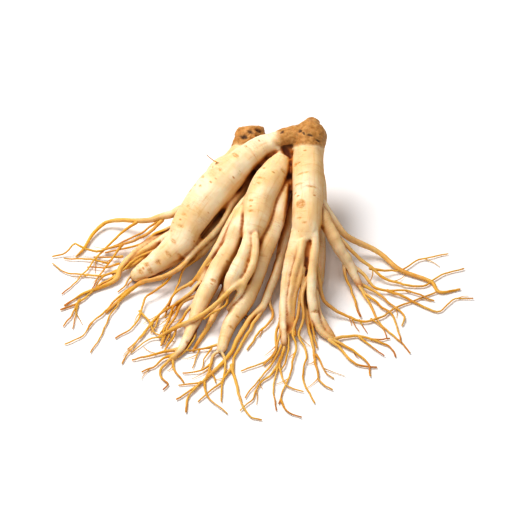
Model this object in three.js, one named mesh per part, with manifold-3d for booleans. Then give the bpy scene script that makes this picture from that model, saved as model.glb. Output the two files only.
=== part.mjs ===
// Fresh ginseng root: a forked brown crown, three thick legs and a fan of fine rootlets.
// It lies as picked, crown raised at the back on its own roots, tips spread on the ground.
// The whole root grew as one piece, so everything is joined into one closed solid.

import * as THREE from "three";
import { mergeVertices } from "three/addons/utils/BufferGeometryUtils.js";
import Module from "manifold-3d";

// Driving dimensions, in millimetres.
const LEG_SIDES = 11;
const BRANCH_SIDES = 6;
const ROOTLET_SIDES = 4;
const LEG_STEP = 8;
const BRANCH_STEP = 11;
const ROOTLET_STEP = 14;
const GROUND_SINK = 0.12;
const SLAB_DEPTH = 20;
const SLAB_WIDTH = 400;
const START_DOME = 0.45;
const TIP_DOME = 0.6;
const WELD_DISTANCE = 1e-4;
const SKIN_COLOUR = 0xe3bd8a;
const SKIN_ROUGHNESS = 0.62;

// Routes run from where a root leaves its parent to its tip.
// Each station is [across, back, up, radius].
// The crown is the start of frontHead, headBridge, rearHead and rightLeg.
const LEGS = {
  frontHead: [[27, 72, 42, 9.2], [28, 80, 44.5, 10], [29, 86.5, 46, 10.4], [29.5, 91, 46.5, 9.2],
    [30, 95, 47, 6]],
  headBridge: [[26, 85, 46, 8.6], [19, 85, 46, 8], [12, 83, 46, 7], [4, 79.5, 45, 6.8]],
  leftArm: [[11, 82, 46, 6.6], [0, 78, 44, 8], [-13, 67, 41, 10], [-24, 57, 36, 11.4],
    [-35, 45.5, 29.3, 11.4], [-43, 36, 22.4, 10.6], [-49, 26, 16, 9], [-57, 20, 11, 8],
    [-65, 15.5, 7, 6.9], [-71, 12, 5.4, 5.7], [-75.5, 10, 4, 4.2]],
  rearHead: [[-5.5, 102.5, 33, 8.8], [-6.5, 99.5, 33, 9.8], [-8.5, 94, 32.5, 9.4],
    [-12, 86, 31.5, 8.4], [-18, 79, 30, 7.4], [-25, 73, 30, 7.4], [-30, 57.5, 29, 7]],
  middleLeg: [[15.5, 79.5, 41, 4.6], [13, 73, 41, 6], [9.5, 65, 40.5, 8], [4, 54, 38.5, 9.8],
    [-1, 42, 36, 9.6], [-4, 29.5, 32.5, 8.8], [-6.5, 21, 29, 7]],
  rightLeg: [[27, 84, 45, 9.4], [27.5, 74.5, 43.5, 9.6], [27.5, 62, 41.5, 9.5], [27.5, 47, 39.5, 9.3],
    [27, 33.5, 36, 9.1], [26.5, 22.5, 32, 8.6], [26, 14.5, 28, 6.4]],
  leftLobe: [[-9.5, 35, 32, 6], [-13, 26, 29, 6.6], [-17, 18.5, 24, 6], [-21.5, 11.5, 19, 5.6],
    [-26.5, 4.5, 15, 5.4], [-30.5, -4, 11.5, 5.3], [-35, -12.5, 8.4, 5.2], [-38, -20.5, 6, 4.7],
    [-40, -28, 4.4, 4.1], [-42.5, -35.5, 3.2, 3.4], [-45.5, -44, 2.4, 2.7], [-49, -51.5, 1.8, 2.1],
    [-53, -57, 1.4, 1.7]],
  rightLobe: [[13, 66, 36, 5.4], [12.5, 52, 34.5, 5.6], [10.5, 40.5, 31.8, 5.2], [8.5, 31, 28.5, 5.2],
    [5, 21.5, 24.6, 5.4], [1, 14, 20, 5.8], [-2, 5.5, 15, 5.5], [-5.5, -4, 10.8, 5.3],
    [-9.5, -13.5, 7, 5.1], [-14.5, -21.5, 4.6, 4.8], [-19, -30.5, 3.6, 4.4], [-22, -41, 3, 3.7],
    [-24, -50.5, 2.5, 3.1]],
  rearProp: [[-14, 88, 31, 6], [-18, 84, 22, 6], [-24, 77, 12, 5.6], [-31, 68, 5, 5],
    [-39, 57, 3.6, 4.2], [-47, 45, 2.8, 3.2], [-54, 35, 1.9, 2.2]],
  rightProp: [[28, 76, 38, 6.4], [31, 75, 27, 6.2], [33.5, 69.5, 17, 5.6], [34.5, 60.5, 9, 4.8],
    [34.5, 47.5, 4, 4], [35, 33.5, 3.2, 3.4], [35, 20, 2.5, 3], [34.5, 7.5, 2, 2.5],
    [33.5, -2, 1.6, 1.9]],
  rearWeb: [[2.5, 76, 36, 5], [-3.5, 67.5, 33, 5.2], [-9.5, 59.5, 29, 4.8], [-14.5, 55.5, 25, 4.2],
    [-19, 51.5, 20.5, 4], [-24, 48, 17, 4], [-30, 42.5, 13.5, 3.8], [-37, 34, 10, 3.2],
    [-44.5, 26, 6.5, 2.4]],
};

const BRANCHES = {
  leftEdge: [[-9.5, 46, 34.5, 1.6], [-14.5, 39.5, 32, 1.9], [-18, 33.5, 29.6, 1.9],
    [-21.5, 27.5, 27, 1.9], [-24.5, 21.5, 23.6, 1.8], [-27.5, 17, 20.6, 1.7], [-30.5, 13, 17.4, 1.6],
    [-35, 8, 13, 1.4], [-38.5, 4.5, 9, 1.2], [-43, 0.5, 4.4, 0.9]],
  overLobe: [[-8, 24.5, 35, 2.4], [-8.5, 17.5, 32, 2.8], [-9, 11, 29, 3.4], [-11, 5, 25.5, 4.2],
    [-14, 0, 21.5, 4.7], [-17, -5, 17.8, 4.8], [-19, -9, 14.8, 4.2], [-20.5, -12, 12.6, 2.8]],
  midFront: [[-5, 26.5, 33, 2.4], [-4.5, 14, 32, 2.4], [-4, 6, 29.6, 2.3], [-5, 0, 26.2, 2.3],
    [-7, -4.5, 22.4, 2.2], [-10, -8.5, 18, 2.1], [-13, -13, 13.6, 1.9], [-16, -16.5, 9.6, 1.6],
    [-20, -20.5, 6, 1.2]],
  betweenLegs: [[17, 73.5, 36, 3.2], [17.5, 62.5, 31, 3.2], [17, 49, 25, 3], [14.5, 33, 19.5, 3],
    [11.5, 19, 15.8, 3], [9, 7, 10.6, 2.9], [4, -4.5, 6, 2.8], [0.5, -16, 3.4, 2.4], [-7, -24, 2, 1.8],
    [-14, -39, 1.5, 1.5], [-19, -53, 1.3, 1.2], [-29, -68, 1.1, 1], [-34, -75, 0.9, 0.7]],
  frontSplit: [[23, 20, 31, 5.8], [20.5, 11, 28, 4.8], [17.5, 3, 24, 4.1], [15.5, -4.5, 19.6, 3.5],
    [14, -13, 14.6, 3.1], [13, -22, 10, 3], [13, -30.5, 6.6, 2.8], [13, -39, 4, 2.5],
    [13, -46, 2.8, 2]],
  frontRidge: [[24, 10, 33, 2.2], [23, 2, 29.6, 2.1], [20.5, -4, 25, 1.9], [18.5, -10.5, 20, 1.8],
    [17, -18, 14.6, 1.6], [16, -26.5, 9.6, 1.5], [15, -34.5, 5.6, 1.4], [15, -42, 3, 1.2]],
  rightSplit: [[30, 21, 34, 4.4], [30.5, 11.5, 29.5, 3.8], [30, 0, 25.4, 3.3], [29.5, -10, 20, 3.1],
    [29.5, -18.5, 15, 3.1], [30.5, -25, 10.4, 3.1], [32, -30.5, 6, 2.6], [35, -36, 3.6, 2.2],
    [39.5, -40, 2.4, 1.7], [42.5, -41, 2, 1.4]],
  splay: [[26.5, 45.5, 36, 4], [30.5, 40.5, 34.5, 4.4], [36, 33, 30.5, 4.4], [41.5, 24.5, 25, 4.1],
    [46, 18.5, 19, 3.8], [50.5, 14.5, 12.8, 3.3], [53.5, 10.5, 8, 2.9], [59.5, 1.5, 3.4, 2]],
  rearBranch: [[27, 56, 38.5, 2.8], [33, 48, 34, 2.7], [39, 41, 28.5, 2.4], [44, 37, 22.5, 2.2],
    [50, 33, 15.5, 1.9], [59, 32, 9, 1.7], [70, 29, 4.5, 1.5], [83, 17, 2, 1.3], [102, 7, 1.2, 1.1],
    [106, -1, 1, 0.9], [119, 2, 0.8, 0.6]],
  armShoot: [[-41.5, 48.5, 27, 2.8], [-47.5, 46.5, 24.5, 2.9], [-54, 45.5, 21, 2.5],
    [-61, 47, 17, 2.1], [-67, 48.5, 13, 1.8], [-75.5, 51.5, 9, 1.5], [-86, 55, 6, 1.3],
    [-95, 55, 3.6, 1.1], [-101.5, 48, 2.4, 1], [-107, 36, 1.4, 0.8], [-112, 29, 0.9, 0.6]],
  armTan: [[-45, 33, 22, 2.4], [-51, 35, 18.5, 2.3], [-58, 36, 14, 2.2], [-68, 33, 10, 2.1],
    [-77, 26, 6.5, 1.9], [-85, 16, 4, 1.7], [-87, 9, 2.4, 1.5], [-98, 2, 1.4, 1], [-106, -2, 1.1, 0.8],
    [-118, -12, 0.8, 0.5]],
  underArm: [[-6.5, 61.5, 31, 2.2], [-13, 52.5, 31, 2.1], [-18.5, 44.5, 29.6, 2.1],
    [-21.5, 38.5, 27, 2.1], [-25, 32.5, 23.5, 2.1], [-29.5, 28.5, 20, 2], [-34, 25.5, 17.4, 1.9],
    [-39, 21.5, 15, 1.8], [-44, 16, 12.6, 1.7], [-49, 10, 11, 1.6], [-56.5, 5, 9.4, 1.5],
    [-65.5, 3, 7, 1.4], [-72, 3.5, 5, 1.3], [-79, -2, 3, 1.1], [-85, -8.5, 1.6, 0.9],
    [-93, -18.5, 0.9, 0.6]],
  edgeBroad: [[-11.5, 44.5, 33, 1.8], [-14.5, 36.5, 30.6, 2.2], [-18, 28, 27, 2.2],
    [-20.5, 22.5, 23.6, 2.2], [-24, 17, 19.6, 2.1], [-29, 11.5, 15.6, 2], [-32.5, 7, 11.8, 1.8],
    [-36, 2, 8.4, 1.5], [-39.5, -3.5, 5, 1.1]],
  splitTwin: [[32.5, -12.5, 14, 1.3], [33, -19, 10.6, 1.7], [34, -25, 8, 1.9], [36.5, -30.5, 5, 1.8],
    [39.5, -35.5, 3, 1.6], [42.5, -40, 2, 1.3]],
  ridgeInner: [[26, 8, 30, 2], [25, 1, 27.4, 2], [23.5, -5.5, 23.4, 1.9], [21.5, -12, 19, 1.7],
    [19.5, -18.5, 14.4, 1.5], [18.5, -24.5, 10, 1.4], [18.5, -32, 6.4, 1.3], [19.5, -40, 4, 1.1]],
  lobeFill: [[-20.5, 11, 17.5, 2.8], [-20, 3, 11, 2.8], [-22.5, -6, 6.5, 2.6], [-26, -15.5, 4, 2.3],
    [-29.5, -24, 2.6, 2], [-33, -33, 1.9, 1.5], [-37.5, -42, 1.3, 1.1], [-41, -50, 0.9, 0.7]],
  gapBack: [[27, 17, 26, 3.4], [26.5, 7, 19.6, 3.2], [26, -3, 14, 2.9], [26.5, -13, 9.6, 2.5],
    [27, -23, 5.6, 2.1], [28, -33, 3.2, 1.6]],
  overFront: [[-10, -8, 18, 1.6], [-14.5, -11.5, 17.4, 1.7], [-19, -15, 15.6, 1.5],
    [-24.5, -20, 13.8, 1.4], [-30, -25, 12, 1.4], [-36, -29.5, 10, 1.4], [-42.5, -32, 8, 1.4],
    [-49, -33.5, 5.6, 1.3], [-55, -36, 3.4, 1.1], [-61, -39.5, 1.4, 0.8]],
  underDark: [[-15.5, 50, 28, 2.2], [-20.5, 42.5, 24, 2.2], [-24.5, 34.5, 20, 2.1], [-29, 28, 16, 2],
    [-33.5, 24, 12.6, 1.9], [-38.5, 20, 10, 1.7], [-44.5, 17, 7, 1.4]],
  tanTwin: [[-51.5, 33, 19, 1.9], [-59.5, 31.5, 14.6, 1.8], [-67, 28.5, 10.6, 1.7],
    [-74.5, 25.5, 7, 1.5], [-80.5, 20.5, 4, 1.2], [-86.5, 16, 2, 0.9]],
  tanUnder: [[-54, 28.5, 13, 1.5], [-61, 28, 10, 1.5], [-68.5, 25.5, 7, 1.4], [-75.5, 20.5, 4, 1.2],
    [-81, 18, 2.4, 1], [-90, 14, 1.2, 0.7]],
};

// Thin rootlets: first and last radius, then stations of [across, back, up].
const ROOTLETS = {
  edgeTwin: [1.4, 0.9, [-9, 36, 34], [-14, 29, 31], [-20, 20, 26], [-26, 12, 19], [-32, 7, 15]],
  ridgeTwin: [1.9, 0.6, [25, -4, 24], [24, -10, 19], [23, -18, 14.4], [22, -25, 10], [20, -32, 7],
    [19, -40, 4.6], [20, -47, 2.4], [17, -64, 1.2], [14, -78, 1], [10, -93, 0.8]],
  longToe: [2.2, 0.6, [27, -8, 15], [25, -18, 10.5], [27, -28, 6.4], [28, -37, 3.4], [30, -51, 1.6],
    [33, -65, 1.3], [35, -76, 1], [41, -82, 0.8]],
  crookedToe: [1.6, 0.6, [26, -8, 20], [25, -16, 16], [25, -23, 12.4], [24, -29, 9], [22, -36, 6],
    [22, -41, 3.4], [25, -46, 2], [26, -53, 1.4], [24, -71, 1.1], [27, -82, 0.9], [31, -92, 0.8]],
  paleWhip: [1.8, 0.6, [31, 10, 22], [33, -3, 16], [37, -16, 8], [43, -20, 4.6], [49, -22, 2.6],
    [60, -26, 1.5], [68, -23, 1.4], [78, -15, 1.2], [88, -9, 1], [104, -1, 0.8]],
  kneeFork: [2, 1, [2, -12, 4], [-2, -21, 2.4], [-7, -33, 1.8], [-13, -46, 1.4], [-16, -56, 1.2],
    [-17, -67, 1.1]],
  darkFork: [1.3, 0.7, [4, -10, 4], [6, -22, 2], [-2, -37, 1.2], [-8, -49, 0.9]],
  splayUpper: [1.9, 0.6, [44, 26, 22], [51, 22, 17], [58, 18, 11], [67, 13, 5.4], [76, 8, 2.4],
    [89, 3, 1.4], [99, 5, 1.2], [107, 13, 1], [121, 19, 0.8]],
  splayKink: [1.1, 0.5, [65, 14, 6], [74, 14, 3.6], [83, 17, 1.8], [98, 28, 1.2], [112, 31, 0.8]],
  splayMiddle: [1.8, 0.6, [54, 13, 9.5], [60, 9, 6.6], [67, 2, 3.6], [77, -1, 2], [89, -1, 1.4],
    [103, -9, 0.8]],
  splayHook: [1.1, 0.5, [75, -1, 2.2], [91, -9, 1.2], [101, -17, 1], [106, -17, 1], [116, -6, 0.9],
    [125.5, -6, 0.8]],
  splayLow: [1.5, 0.6, [57, 4, 4.4], [65, 0, 2.8], [77, -11, 1.5], [84, -22, 1.1], [83, -29, 0.8]],
  splayRun: [1.4, 0.6, [58, 3, 4], [62, -4, 2.6], [70, -12, 1.6], [77, -21, 1.3], [80, -30, 1],
    [83, -43, 0.8]],
  splayDrop: [1.4, 0.6, [56, 6, 5], [60, -3, 3], [65, -13, 1.6], [70, -27, 1.2], [79, -39, 1],
    [88, -52, 0.8]],
  splayInner: [1.4, 0.8, [49, 15, 11], [50, 7, 7], [53, 0, 3.6], [55, -9, 1.9], [59, -22, 1.1]],
  fanOuter: [1.2, 0.5, [-76, 50, 9], [-84, 44, 5.5], [-94, 33, 2.6], [-102, 24, 1.6], [-109, 12, 1.1],
    [-119, -3, 0.8]],
  fanHump: [1.4, 0.6, [-60, 45, 16], [-70, 39, 10.5], [-80, 36, 6.5], [-92, 33, 3.6], [-100, 31, 3.6],
    [-107, 31, 5.4], [-112, 33, 7.4], [-116, 31, 4], [-120, 30, 1.4], [-126, 29, 0.8]],
  fanInner: [1.1, 0.5, [-84, 35, 5.4], [-90, 26, 3.4], [-95, 18, 2], [-99, 12, 1.4], [-102, 2, 0.8]],
  fanLower: [1.3, 0.7, [-53, 26, 13], [-66, 26, 8.6], [-75, 23, 5.6], [-85, 13, 3.4], [-97, 6, 1.4],
    [-104, -3, 1.1], [-112, -11, 0.9], [-120, -16, 0.8]],
  fanReach: [1, 0.5, [-86, 15, 3.6], [-97, 12, 1.8], [-109, 13, 1.3], [-118, 15, 1.1], [-126, 23, 0.8]],
  armTip: [1.3, 0.5, [-74, 12, 4.2], [-81, 9, 2.4], [-83, 5, 1.4], [-87, -1, 0.8]],
  crossFork: [1.1, 0.5, [-70, 3, 5.6], [-82, -3, 2.4], [-92, -16, 1.3], [-102, -29, 1.1],
    [-106, -38, 1], [-117, -44, 0.8]],
  crossTwig: [0.9, 0.5, [-83, -6, 1.8], [-87, -13, 1.3], [-92, -26, 1], [-98, -43, 0.9],
    [-101, -51, 0.8]],
  underDeep: [1.9, 1, [-15, 54, 31], [-22, 41, 23], [-28, 31, 16], [-37, 24, 10], [-42, 19, 6]],
  lowLeft: [1.6, 0.6, [-34, 26, 17], [-40, 21, 13], [-46, 15, 11], [-52, 10, 9], [-58, 1, 6.4],
    [-69, -8, 3], [-73, -18, 1.8], [-74, -24, 1.5], [-79, -33, 1.1], [-87, -40, 0.8]],
  lowStub: [1.3, 0.6, [-34, 25, 12.4], [-40, 17, 10], [-47, 9, 8.4], [-50, 0, 5.6], [-55, -12, 2.8],
    [-57, -21, 1.1]],
  lowLong: [1.5, 0.6, [-35, -2, 9], [-43, -7, 6], [-54, -16, 3.4], [-64, -25, 1.9], [-70, -34, 1.4],
    [-76, -46, 1.1], [-83, -60, 0.8]],
  lowOchre: [2, 0.8, [-33, -8, 9.5], [-40, -10, 7], [-47, -15, 5], [-53, -26, 3], [-56, -33, 2.2],
    [-60, -46, 1.1]],
  lowCross: [1, 0.5, [-53, -33, 3], [-60, -38, 1.8], [-68, -41, 1.2], [-77, -51, 0.8]],
  toeA: [1.4, 0.6, [-50, -50, 2.4], [-59, -52, 1.6], [-71, -56, 1.2], [-77, -57, 0.8]],
  toeB: [1.2, 0.6, [-52, -54, 2], [-59, -58, 1.4], [-65, -64, 1.1], [-71, -68, 0.8]],
  toeC: [1.3, 0.6, [-53, -56, 2], [-59, -64, 1.3], [-60, -70, 1.1], [-56, -78, 1], [-59, -82, 0.8]],
  toeD: [1.1, 0.6, [-53, -57, 1.8], [-52, -65, 1.2], [-48, -72, 1], [-46, -76, 0.8]],
  heelA: [1.3, 0.6, [-23, -45, 3.4], [-29, -47, 2.2], [-37, -49, 1.3], [-42, -50, 0.8]],
  heelB: [1.5, 0.7, [-24, -50, 2.8], [-29, -55, 1.8], [-31, -63, 1.4], [-33, -72, 1.3],
    [-40, -81, 1.1], [-50, -89, 0.8]],
  heelC: [1.1, 0.8, [-36, -76, 1.3], [-41, -84, 1.2], [-44, -91, 1], [-44, -100, 0.9]],
  heelD: [1, 0.5, [-34, -74, 1.2], [-33, -84, 1.1], [-29, -92, 1], [-20, -101, 0.8]],
  heelE: [1.3, 0.6, [-24, -51, 2.6], [-22, -61, 1.5], [-23, -75, 1.1], [-24, -92, 0.8]],
  heelF: [1.2, 0.6, [-18, -62, 1.3], [-15, -80, 1.1], [-12, -94, 1], [-6, -104, 0.9], [0, -106, 0.8]],
  heelG: [1.1, 0.6, [-18, -64, 1.3], [-25, -77, 1.1], [-30, -83, 1], [-37, -92, 0.8]],
  soleA: [1.2, 0.5, [12, -26, 7], [9, -37, 2.6], [7, -51, 1.4], [1, -60, 1.2], [-9, -64, 1],
    [-13, -66, 0.8]],
  soleB: [1.3, 0.5, [14, -38, 3.4], [10, -52, 1.6], [5, -63, 1.3], [-2, -72, 1.1], [-10, -87, 0.8]],
  soleC: [1.4, 0.5, [14, -40, 3], [12, -54, 1.5], [6, -69, 1.2], [-2, -79, 1.1], [-6, -90, 1],
    [-13, -99, 0.8]],
  soleD: [1, 0.5, [11, -56, 1.3], [8, -68, 1.1], [7, -80, 1], [8, -98, 0.8]],
  soleE: [1, 0.5, [13, -50, 1.6], [11, -66, 1.1], [15, -78, 1], [24, -83, 0.8]],
  soleF: [0.9, 0.5, [11, -90, 0.9], [15, -98, 0.8], [23, -104, 0.8]],
  ballA: [1.5, 0.6, [41, -42, 2.2], [50, -38, 1.5], [65, -40, 1.2], [76, -47, 1], [79, -55, 0.8]],
  ballB: [1.5, 0.6, [41, -42, 2.2], [48, -46, 1.6], [56, -51, 1.3], [62, -59, 1.1], [64, -71, 0.8]],
  ballC: [1.4, 0.7, [40, -42, 2.2], [46, -49, 1.6], [53, -59, 1.2], [58, -62, 1], [68, -63, 0.8]],
  ballD: [1, 0.5, [58, -39, 1.3], [64, -46, 1.1], [73, -54, 0.8]],
  splitOver: [1.1, 0.9, [-20, -14, 14], [-21, -19, 12.6], [-22, -23, 12], [-26, -27, 11.4],
    [-31, -29, 10.6], [-35, -32, 10]],
  lowTwinA: [1.5, 0.7, [-35, -3, 10], [-45, -10, 6], [-51, -16, 3.6], [-56, -27, 2], [-60, -36, 1.2]],
  lowTwinB: [1.4, 0.7, [-32, -8, 9.6], [-41, -17, 6.4], [-49, -28, 4], [-54, -36, 2.2],
    [-58, -45, 1.4]],
  lowTwinE: [1.6, 0.8, [-37, -3, 11], [-44, -10, 8], [-51, -15, 5.4], [-55, -21, 3.4], [-57, -31, 2.2],
    [-59, -43, 1.4]],
};

// One closed, tapered tube with a domed end at its tip.
function taperedTube(stations, sides, step) {
  const centres = stations.map(([x, y, z]) => new THREE.Vector3(x, y, z));
  const route = new THREE.CatmullRomCurve3(centres, false, "centripetal");
  const spans = stations.length - 1;
  const rings = Math.max(spans, Math.round(route.getLength() / step));
  const vertices = [];
  const triangles = [];
  let normal = new THREE.Vector3(0, 0, 1);
  for (let ring = 0; ring <= rings; ring += 1) {
    const along = ring / rings;
    const centre = route.getPoint(along);
    const tangent = route.getTangent(along);
    normal = normal.clone().addScaledVector(tangent, -normal.dot(tangent)).normalize();
    const sideways = new THREE.Vector3().crossVectors(tangent, normal);
    const span = Math.min(spans - 1, Math.floor(along * spans));
    const part = along * spans - span;
    const radius = stations[span][3] * (1 - part) + stations[span + 1][3] * part;
    centre.z = Math.max(centre.z, radius * (1 - GROUND_SINK));
    for (let side = 0; side < sides; side += 1) {
      const turn = (2 * Math.PI * side) / sides;
      const point = centre.clone();
      point.addScaledVector(normal, radius * Math.cos(turn));
      point.addScaledVector(sideways, radius * Math.sin(turn));
      vertices.push(point.x, point.y, point.z);
    }
    if (ring > 0) {
      const now = ring * sides;
      const before = now - sides;
      for (let side = 0; side < sides; side += 1) {
        const next = (side + 1) % sides;
        triangles.push(before + side, before + next, now + next);
        triangles.push(before + side, now + next, now + side);
      }
    }
  }
  const last = rings * sides;
  const startDome = vertices.length / 3;
  const start = route.getPoint(0);
  start.addScaledVector(route.getTangent(0), -START_DOME * stations[0][3]);
  const end = route.getPoint(1);
  end.addScaledVector(route.getTangent(1), TIP_DOME * stations[spans][3]);
  end.z = Math.max(end.z, vertices[3 * last + 2] * 0.5);
  vertices.push(start.x, start.y, start.z, end.x, end.y, end.z);
  for (let side = 0; side < sides; side += 1) {
    const next = (side + 1) % sides;
    triangles.push(startDome, next, side);
    triangles.push(startDome + 1, last + side, last + next);
  }
  const geometry = new THREE.BufferGeometry();
  geometry.setAttribute("position", new THREE.Float32BufferAttribute(vertices, 3));
  geometry.setIndex(triangles);
  return geometry;
}

// Spreads the first and last radius of a thin rootlet over its stations.
function rootletStations([first, last, ...points]) {
  const spans = points.length - 1;
  return points.map(([x, y, z], index) => [x, y, z, first + ((last - first) * index) / spans]);
}

const wasm = await Module();
wasm.setup();

// Welds a geometry and hands it over as a closed solid.
function toSolid(geometry) {
  const clean = geometry.clone();
  clean.deleteAttribute("normal");
  clean.deleteAttribute("uv");
  const welded = mergeVertices(clean, WELD_DISTANCE);
  const vertProperties = new Float32Array(welded.attributes.position.array);
  const triVerts = new Uint32Array(welded.index.array);
  const mesh = new wasm.Mesh({ numProp: 3, vertProperties, triVerts });
  return new wasm.Manifold(mesh);
}

// Brings a closed solid back as geometry that can be shown.
function toGeometry(solid) {
  const mesh = solid.getMesh();
  const geometry = new THREE.BufferGeometry();
  const positions = new Float32Array(mesh.vertProperties);
  const corners = new Uint32Array(mesh.triVerts);
  geometry.setAttribute("position", new THREE.BufferAttribute(positions, 3));
  geometry.setIndex(new THREE.BufferAttribute(corners, 1));
  geometry.computeVertexNormals();
  return geometry;
}

const strands = [];
for (const stations of Object.values(LEGS)) {
  strands.push(toSolid(taperedTube(stations, LEG_SIDES, LEG_STEP)));
}
for (const stations of Object.values(BRANCHES)) {
  strands.push(toSolid(taperedTube(stations, BRANCH_SIDES, BRANCH_STEP)));
}
for (const rootlet of Object.values(ROOTLETS)) {
  const stations = rootletStations(rootlet);
  strands.push(toSolid(taperedTube(stations, ROOTLET_SIDES, ROOTLET_STEP)));
}
let root = strands.reduce((joined, strand) => joined.add(strand));

// The undersides that bear on the ground are worn to one level.
const slab = new THREE.BoxGeometry(SLAB_WIDTH, SLAB_WIDTH, SLAB_DEPTH);
slab.translate(0, 0, -SLAB_DEPTH / 2);
root = root.subtract(toSolid(slab));

const body = toGeometry(root);

const skin = new THREE.MeshStandardMaterial({
  color: SKIN_COLOUR,
  roughness: SKIN_ROUGHNESS,
  metalness: 0,
});
const ginsengRoot = new THREE.Mesh(body, skin);
ginsengRoot.name = "ginseng_root";

const group = new THREE.Group();
group.name = "ginseng";
group.add(ginsengRoot);

export default group;
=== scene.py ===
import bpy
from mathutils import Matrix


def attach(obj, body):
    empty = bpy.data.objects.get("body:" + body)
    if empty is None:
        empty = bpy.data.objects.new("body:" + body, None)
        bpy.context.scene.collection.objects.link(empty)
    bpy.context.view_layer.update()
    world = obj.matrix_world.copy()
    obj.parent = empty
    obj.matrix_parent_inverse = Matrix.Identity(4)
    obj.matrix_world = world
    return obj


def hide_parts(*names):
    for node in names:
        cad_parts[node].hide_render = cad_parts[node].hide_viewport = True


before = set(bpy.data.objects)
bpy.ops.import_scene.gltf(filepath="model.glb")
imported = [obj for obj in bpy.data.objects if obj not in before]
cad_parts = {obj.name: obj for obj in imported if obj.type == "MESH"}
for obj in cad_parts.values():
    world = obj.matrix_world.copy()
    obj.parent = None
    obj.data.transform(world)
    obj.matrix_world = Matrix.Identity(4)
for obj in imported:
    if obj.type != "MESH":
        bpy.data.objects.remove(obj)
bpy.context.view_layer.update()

"""Fresh ginseng root: forked brown crown, three thick legs, branches and a fan of rootlets."""

import logging
import math
import random
from dataclasses import dataclass, field
from enum import Enum

import bpy
import numpy as np
from mathutils import Vector, noise
from mathutils.bvhtree import BVHTree

LOG = logging.getLogger("ginseng")
MM = 0.001

Place = tuple[float, float, float]
Station = tuple[float, float, float, float]
Scar = tuple[float, float, float, float, float, float]
Colour = tuple[float, float, float, float]


class Growth(Enum):
    """What kind of root a strand is. Two legs side by side join more gently than the rest."""

    LEG = "leg"
    BRANCH = "branch"
    ROOTLET = "rootlet"
    HAIR = "hair"


# Routes in millimetres: across, back, up, radius, from where each leaves its parent to its tip.
LEGS: dict[str, list[Station]] = {
    "frontHead": [(27, 72, 42, 9.2), (28, 80, 44.5, 10), (29, 86.5, 46, 10.4),
        (29.5, 91, 46.5, 9.2), (30, 95, 47, 6)],
    "headBridge": [(26, 85, 46, 8.6), (19, 85, 46, 8), (12, 83, 46, 7), (4, 79.5, 45, 6.8)],
    "leftArm": [(11, 82, 46, 6.6), (0, 78, 44, 8), (-13, 67, 41, 10), (-24, 57, 36, 11.4),
        (-35, 45.5, 29.3, 11.4), (-43, 36, 22.4, 10.6), (-49, 26, 16, 9), (-57, 20, 11, 8),
        (-65, 15.5, 7, 6.9), (-71, 12, 5.4, 5.7), (-75.5, 10, 4, 4.2)],
    "rearHead": [(-5.5, 102.5, 33, 8.8), (-6.5, 99.5, 33, 9.8), (-8.5, 94, 32.5, 9.4),
        (-12, 86, 31.5, 8.4), (-18, 79, 30, 7.4), (-25, 73, 30, 7.4), (-30, 57.5, 29, 7)],
    "middleLeg": [(15.5, 79.5, 41, 4.6), (13, 73, 41, 6), (9.5, 65, 40.5, 8), (4, 54, 38.5, 9.8),
        (-1, 42, 36, 9.6), (-4, 29.5, 32.5, 8.8), (-6.5, 21, 29, 7)],
    "rightLeg": [(27, 84, 45, 9.4), (27.5, 74.5, 43.5, 9.6), (27.5, 62, 41.5, 9.5),
        (27.5, 47, 39.5, 9.3), (27, 33.5, 36, 9.1), (26.5, 22.5, 32, 8.6), (26, 14.5, 28, 6.4)],
    "leftLobe": [(-9.5, 35, 32, 6), (-13, 26, 29, 6.6), (-17, 18.5, 24, 6), (-21.5, 11.5, 19, 5.6),
        (-26.5, 4.5, 15, 5.4), (-30.5, -4, 11.5, 5.3), (-35, -12.5, 8.4, 5.2), (-38, -20.5, 6, 4.7),
        (-40, -28, 4.4, 4.1), (-42.5, -35.5, 3.2, 3.4), (-45.5, -44, 2.4, 2.7),
        (-49, -51.5, 1.8, 2.1), (-53, -57, 1.4, 1.7)],
    "rightLobe": [(13, 66, 36, 5.4), (12.5, 52, 34.5, 5.6), (10.5, 40.5, 31.8, 5.2),
        (8.5, 31, 28.5, 5.2), (5, 21.5, 24.6, 5.4), (1, 14, 20, 5.8), (-2, 5.5, 15, 5.5),
        (-5.5, -4, 10.8, 5.3), (-9.5, -13.5, 7, 5.1), (-14.5, -21.5, 4.6, 4.8),
        (-19, -30.5, 3.6, 4.4), (-22, -41, 3, 3.7), (-24, -50.5, 2.5, 3.1)],
    "rearProp": [(-14, 88, 31, 6), (-18, 84, 22, 6), (-24, 77, 12, 5.6), (-31, 68, 5, 5),
        (-39, 57, 3.6, 4.2), (-47, 45, 2.8, 3.2), (-54, 35, 1.9, 2.2)],
    "rightProp": [(28, 76, 38, 6.4), (31, 75, 27, 6.2), (33.5, 69.5, 17, 5.6), (34.5, 60.5, 9, 4.8),
        (34.5, 47.5, 4, 4), (35, 33.5, 3.2, 3.4), (35, 20, 2.5, 3), (34.5, 7.5, 2, 2.5),
        (33.5, -2, 1.6, 1.9)],
    "rearWeb": [(2.5, 76, 36, 5), (-3.5, 67.5, 33, 5.2), (-9.5, 59.5, 29, 4.8),
        (-14.5, 55.5, 25, 4.2), (-19, 51.5, 20.5, 4), (-24, 48, 17, 4), (-30, 42.5, 13.5, 3.8),
        (-37, 34, 10, 3.2), (-44.5, 26, 6.5, 2.4)],
}
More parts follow.
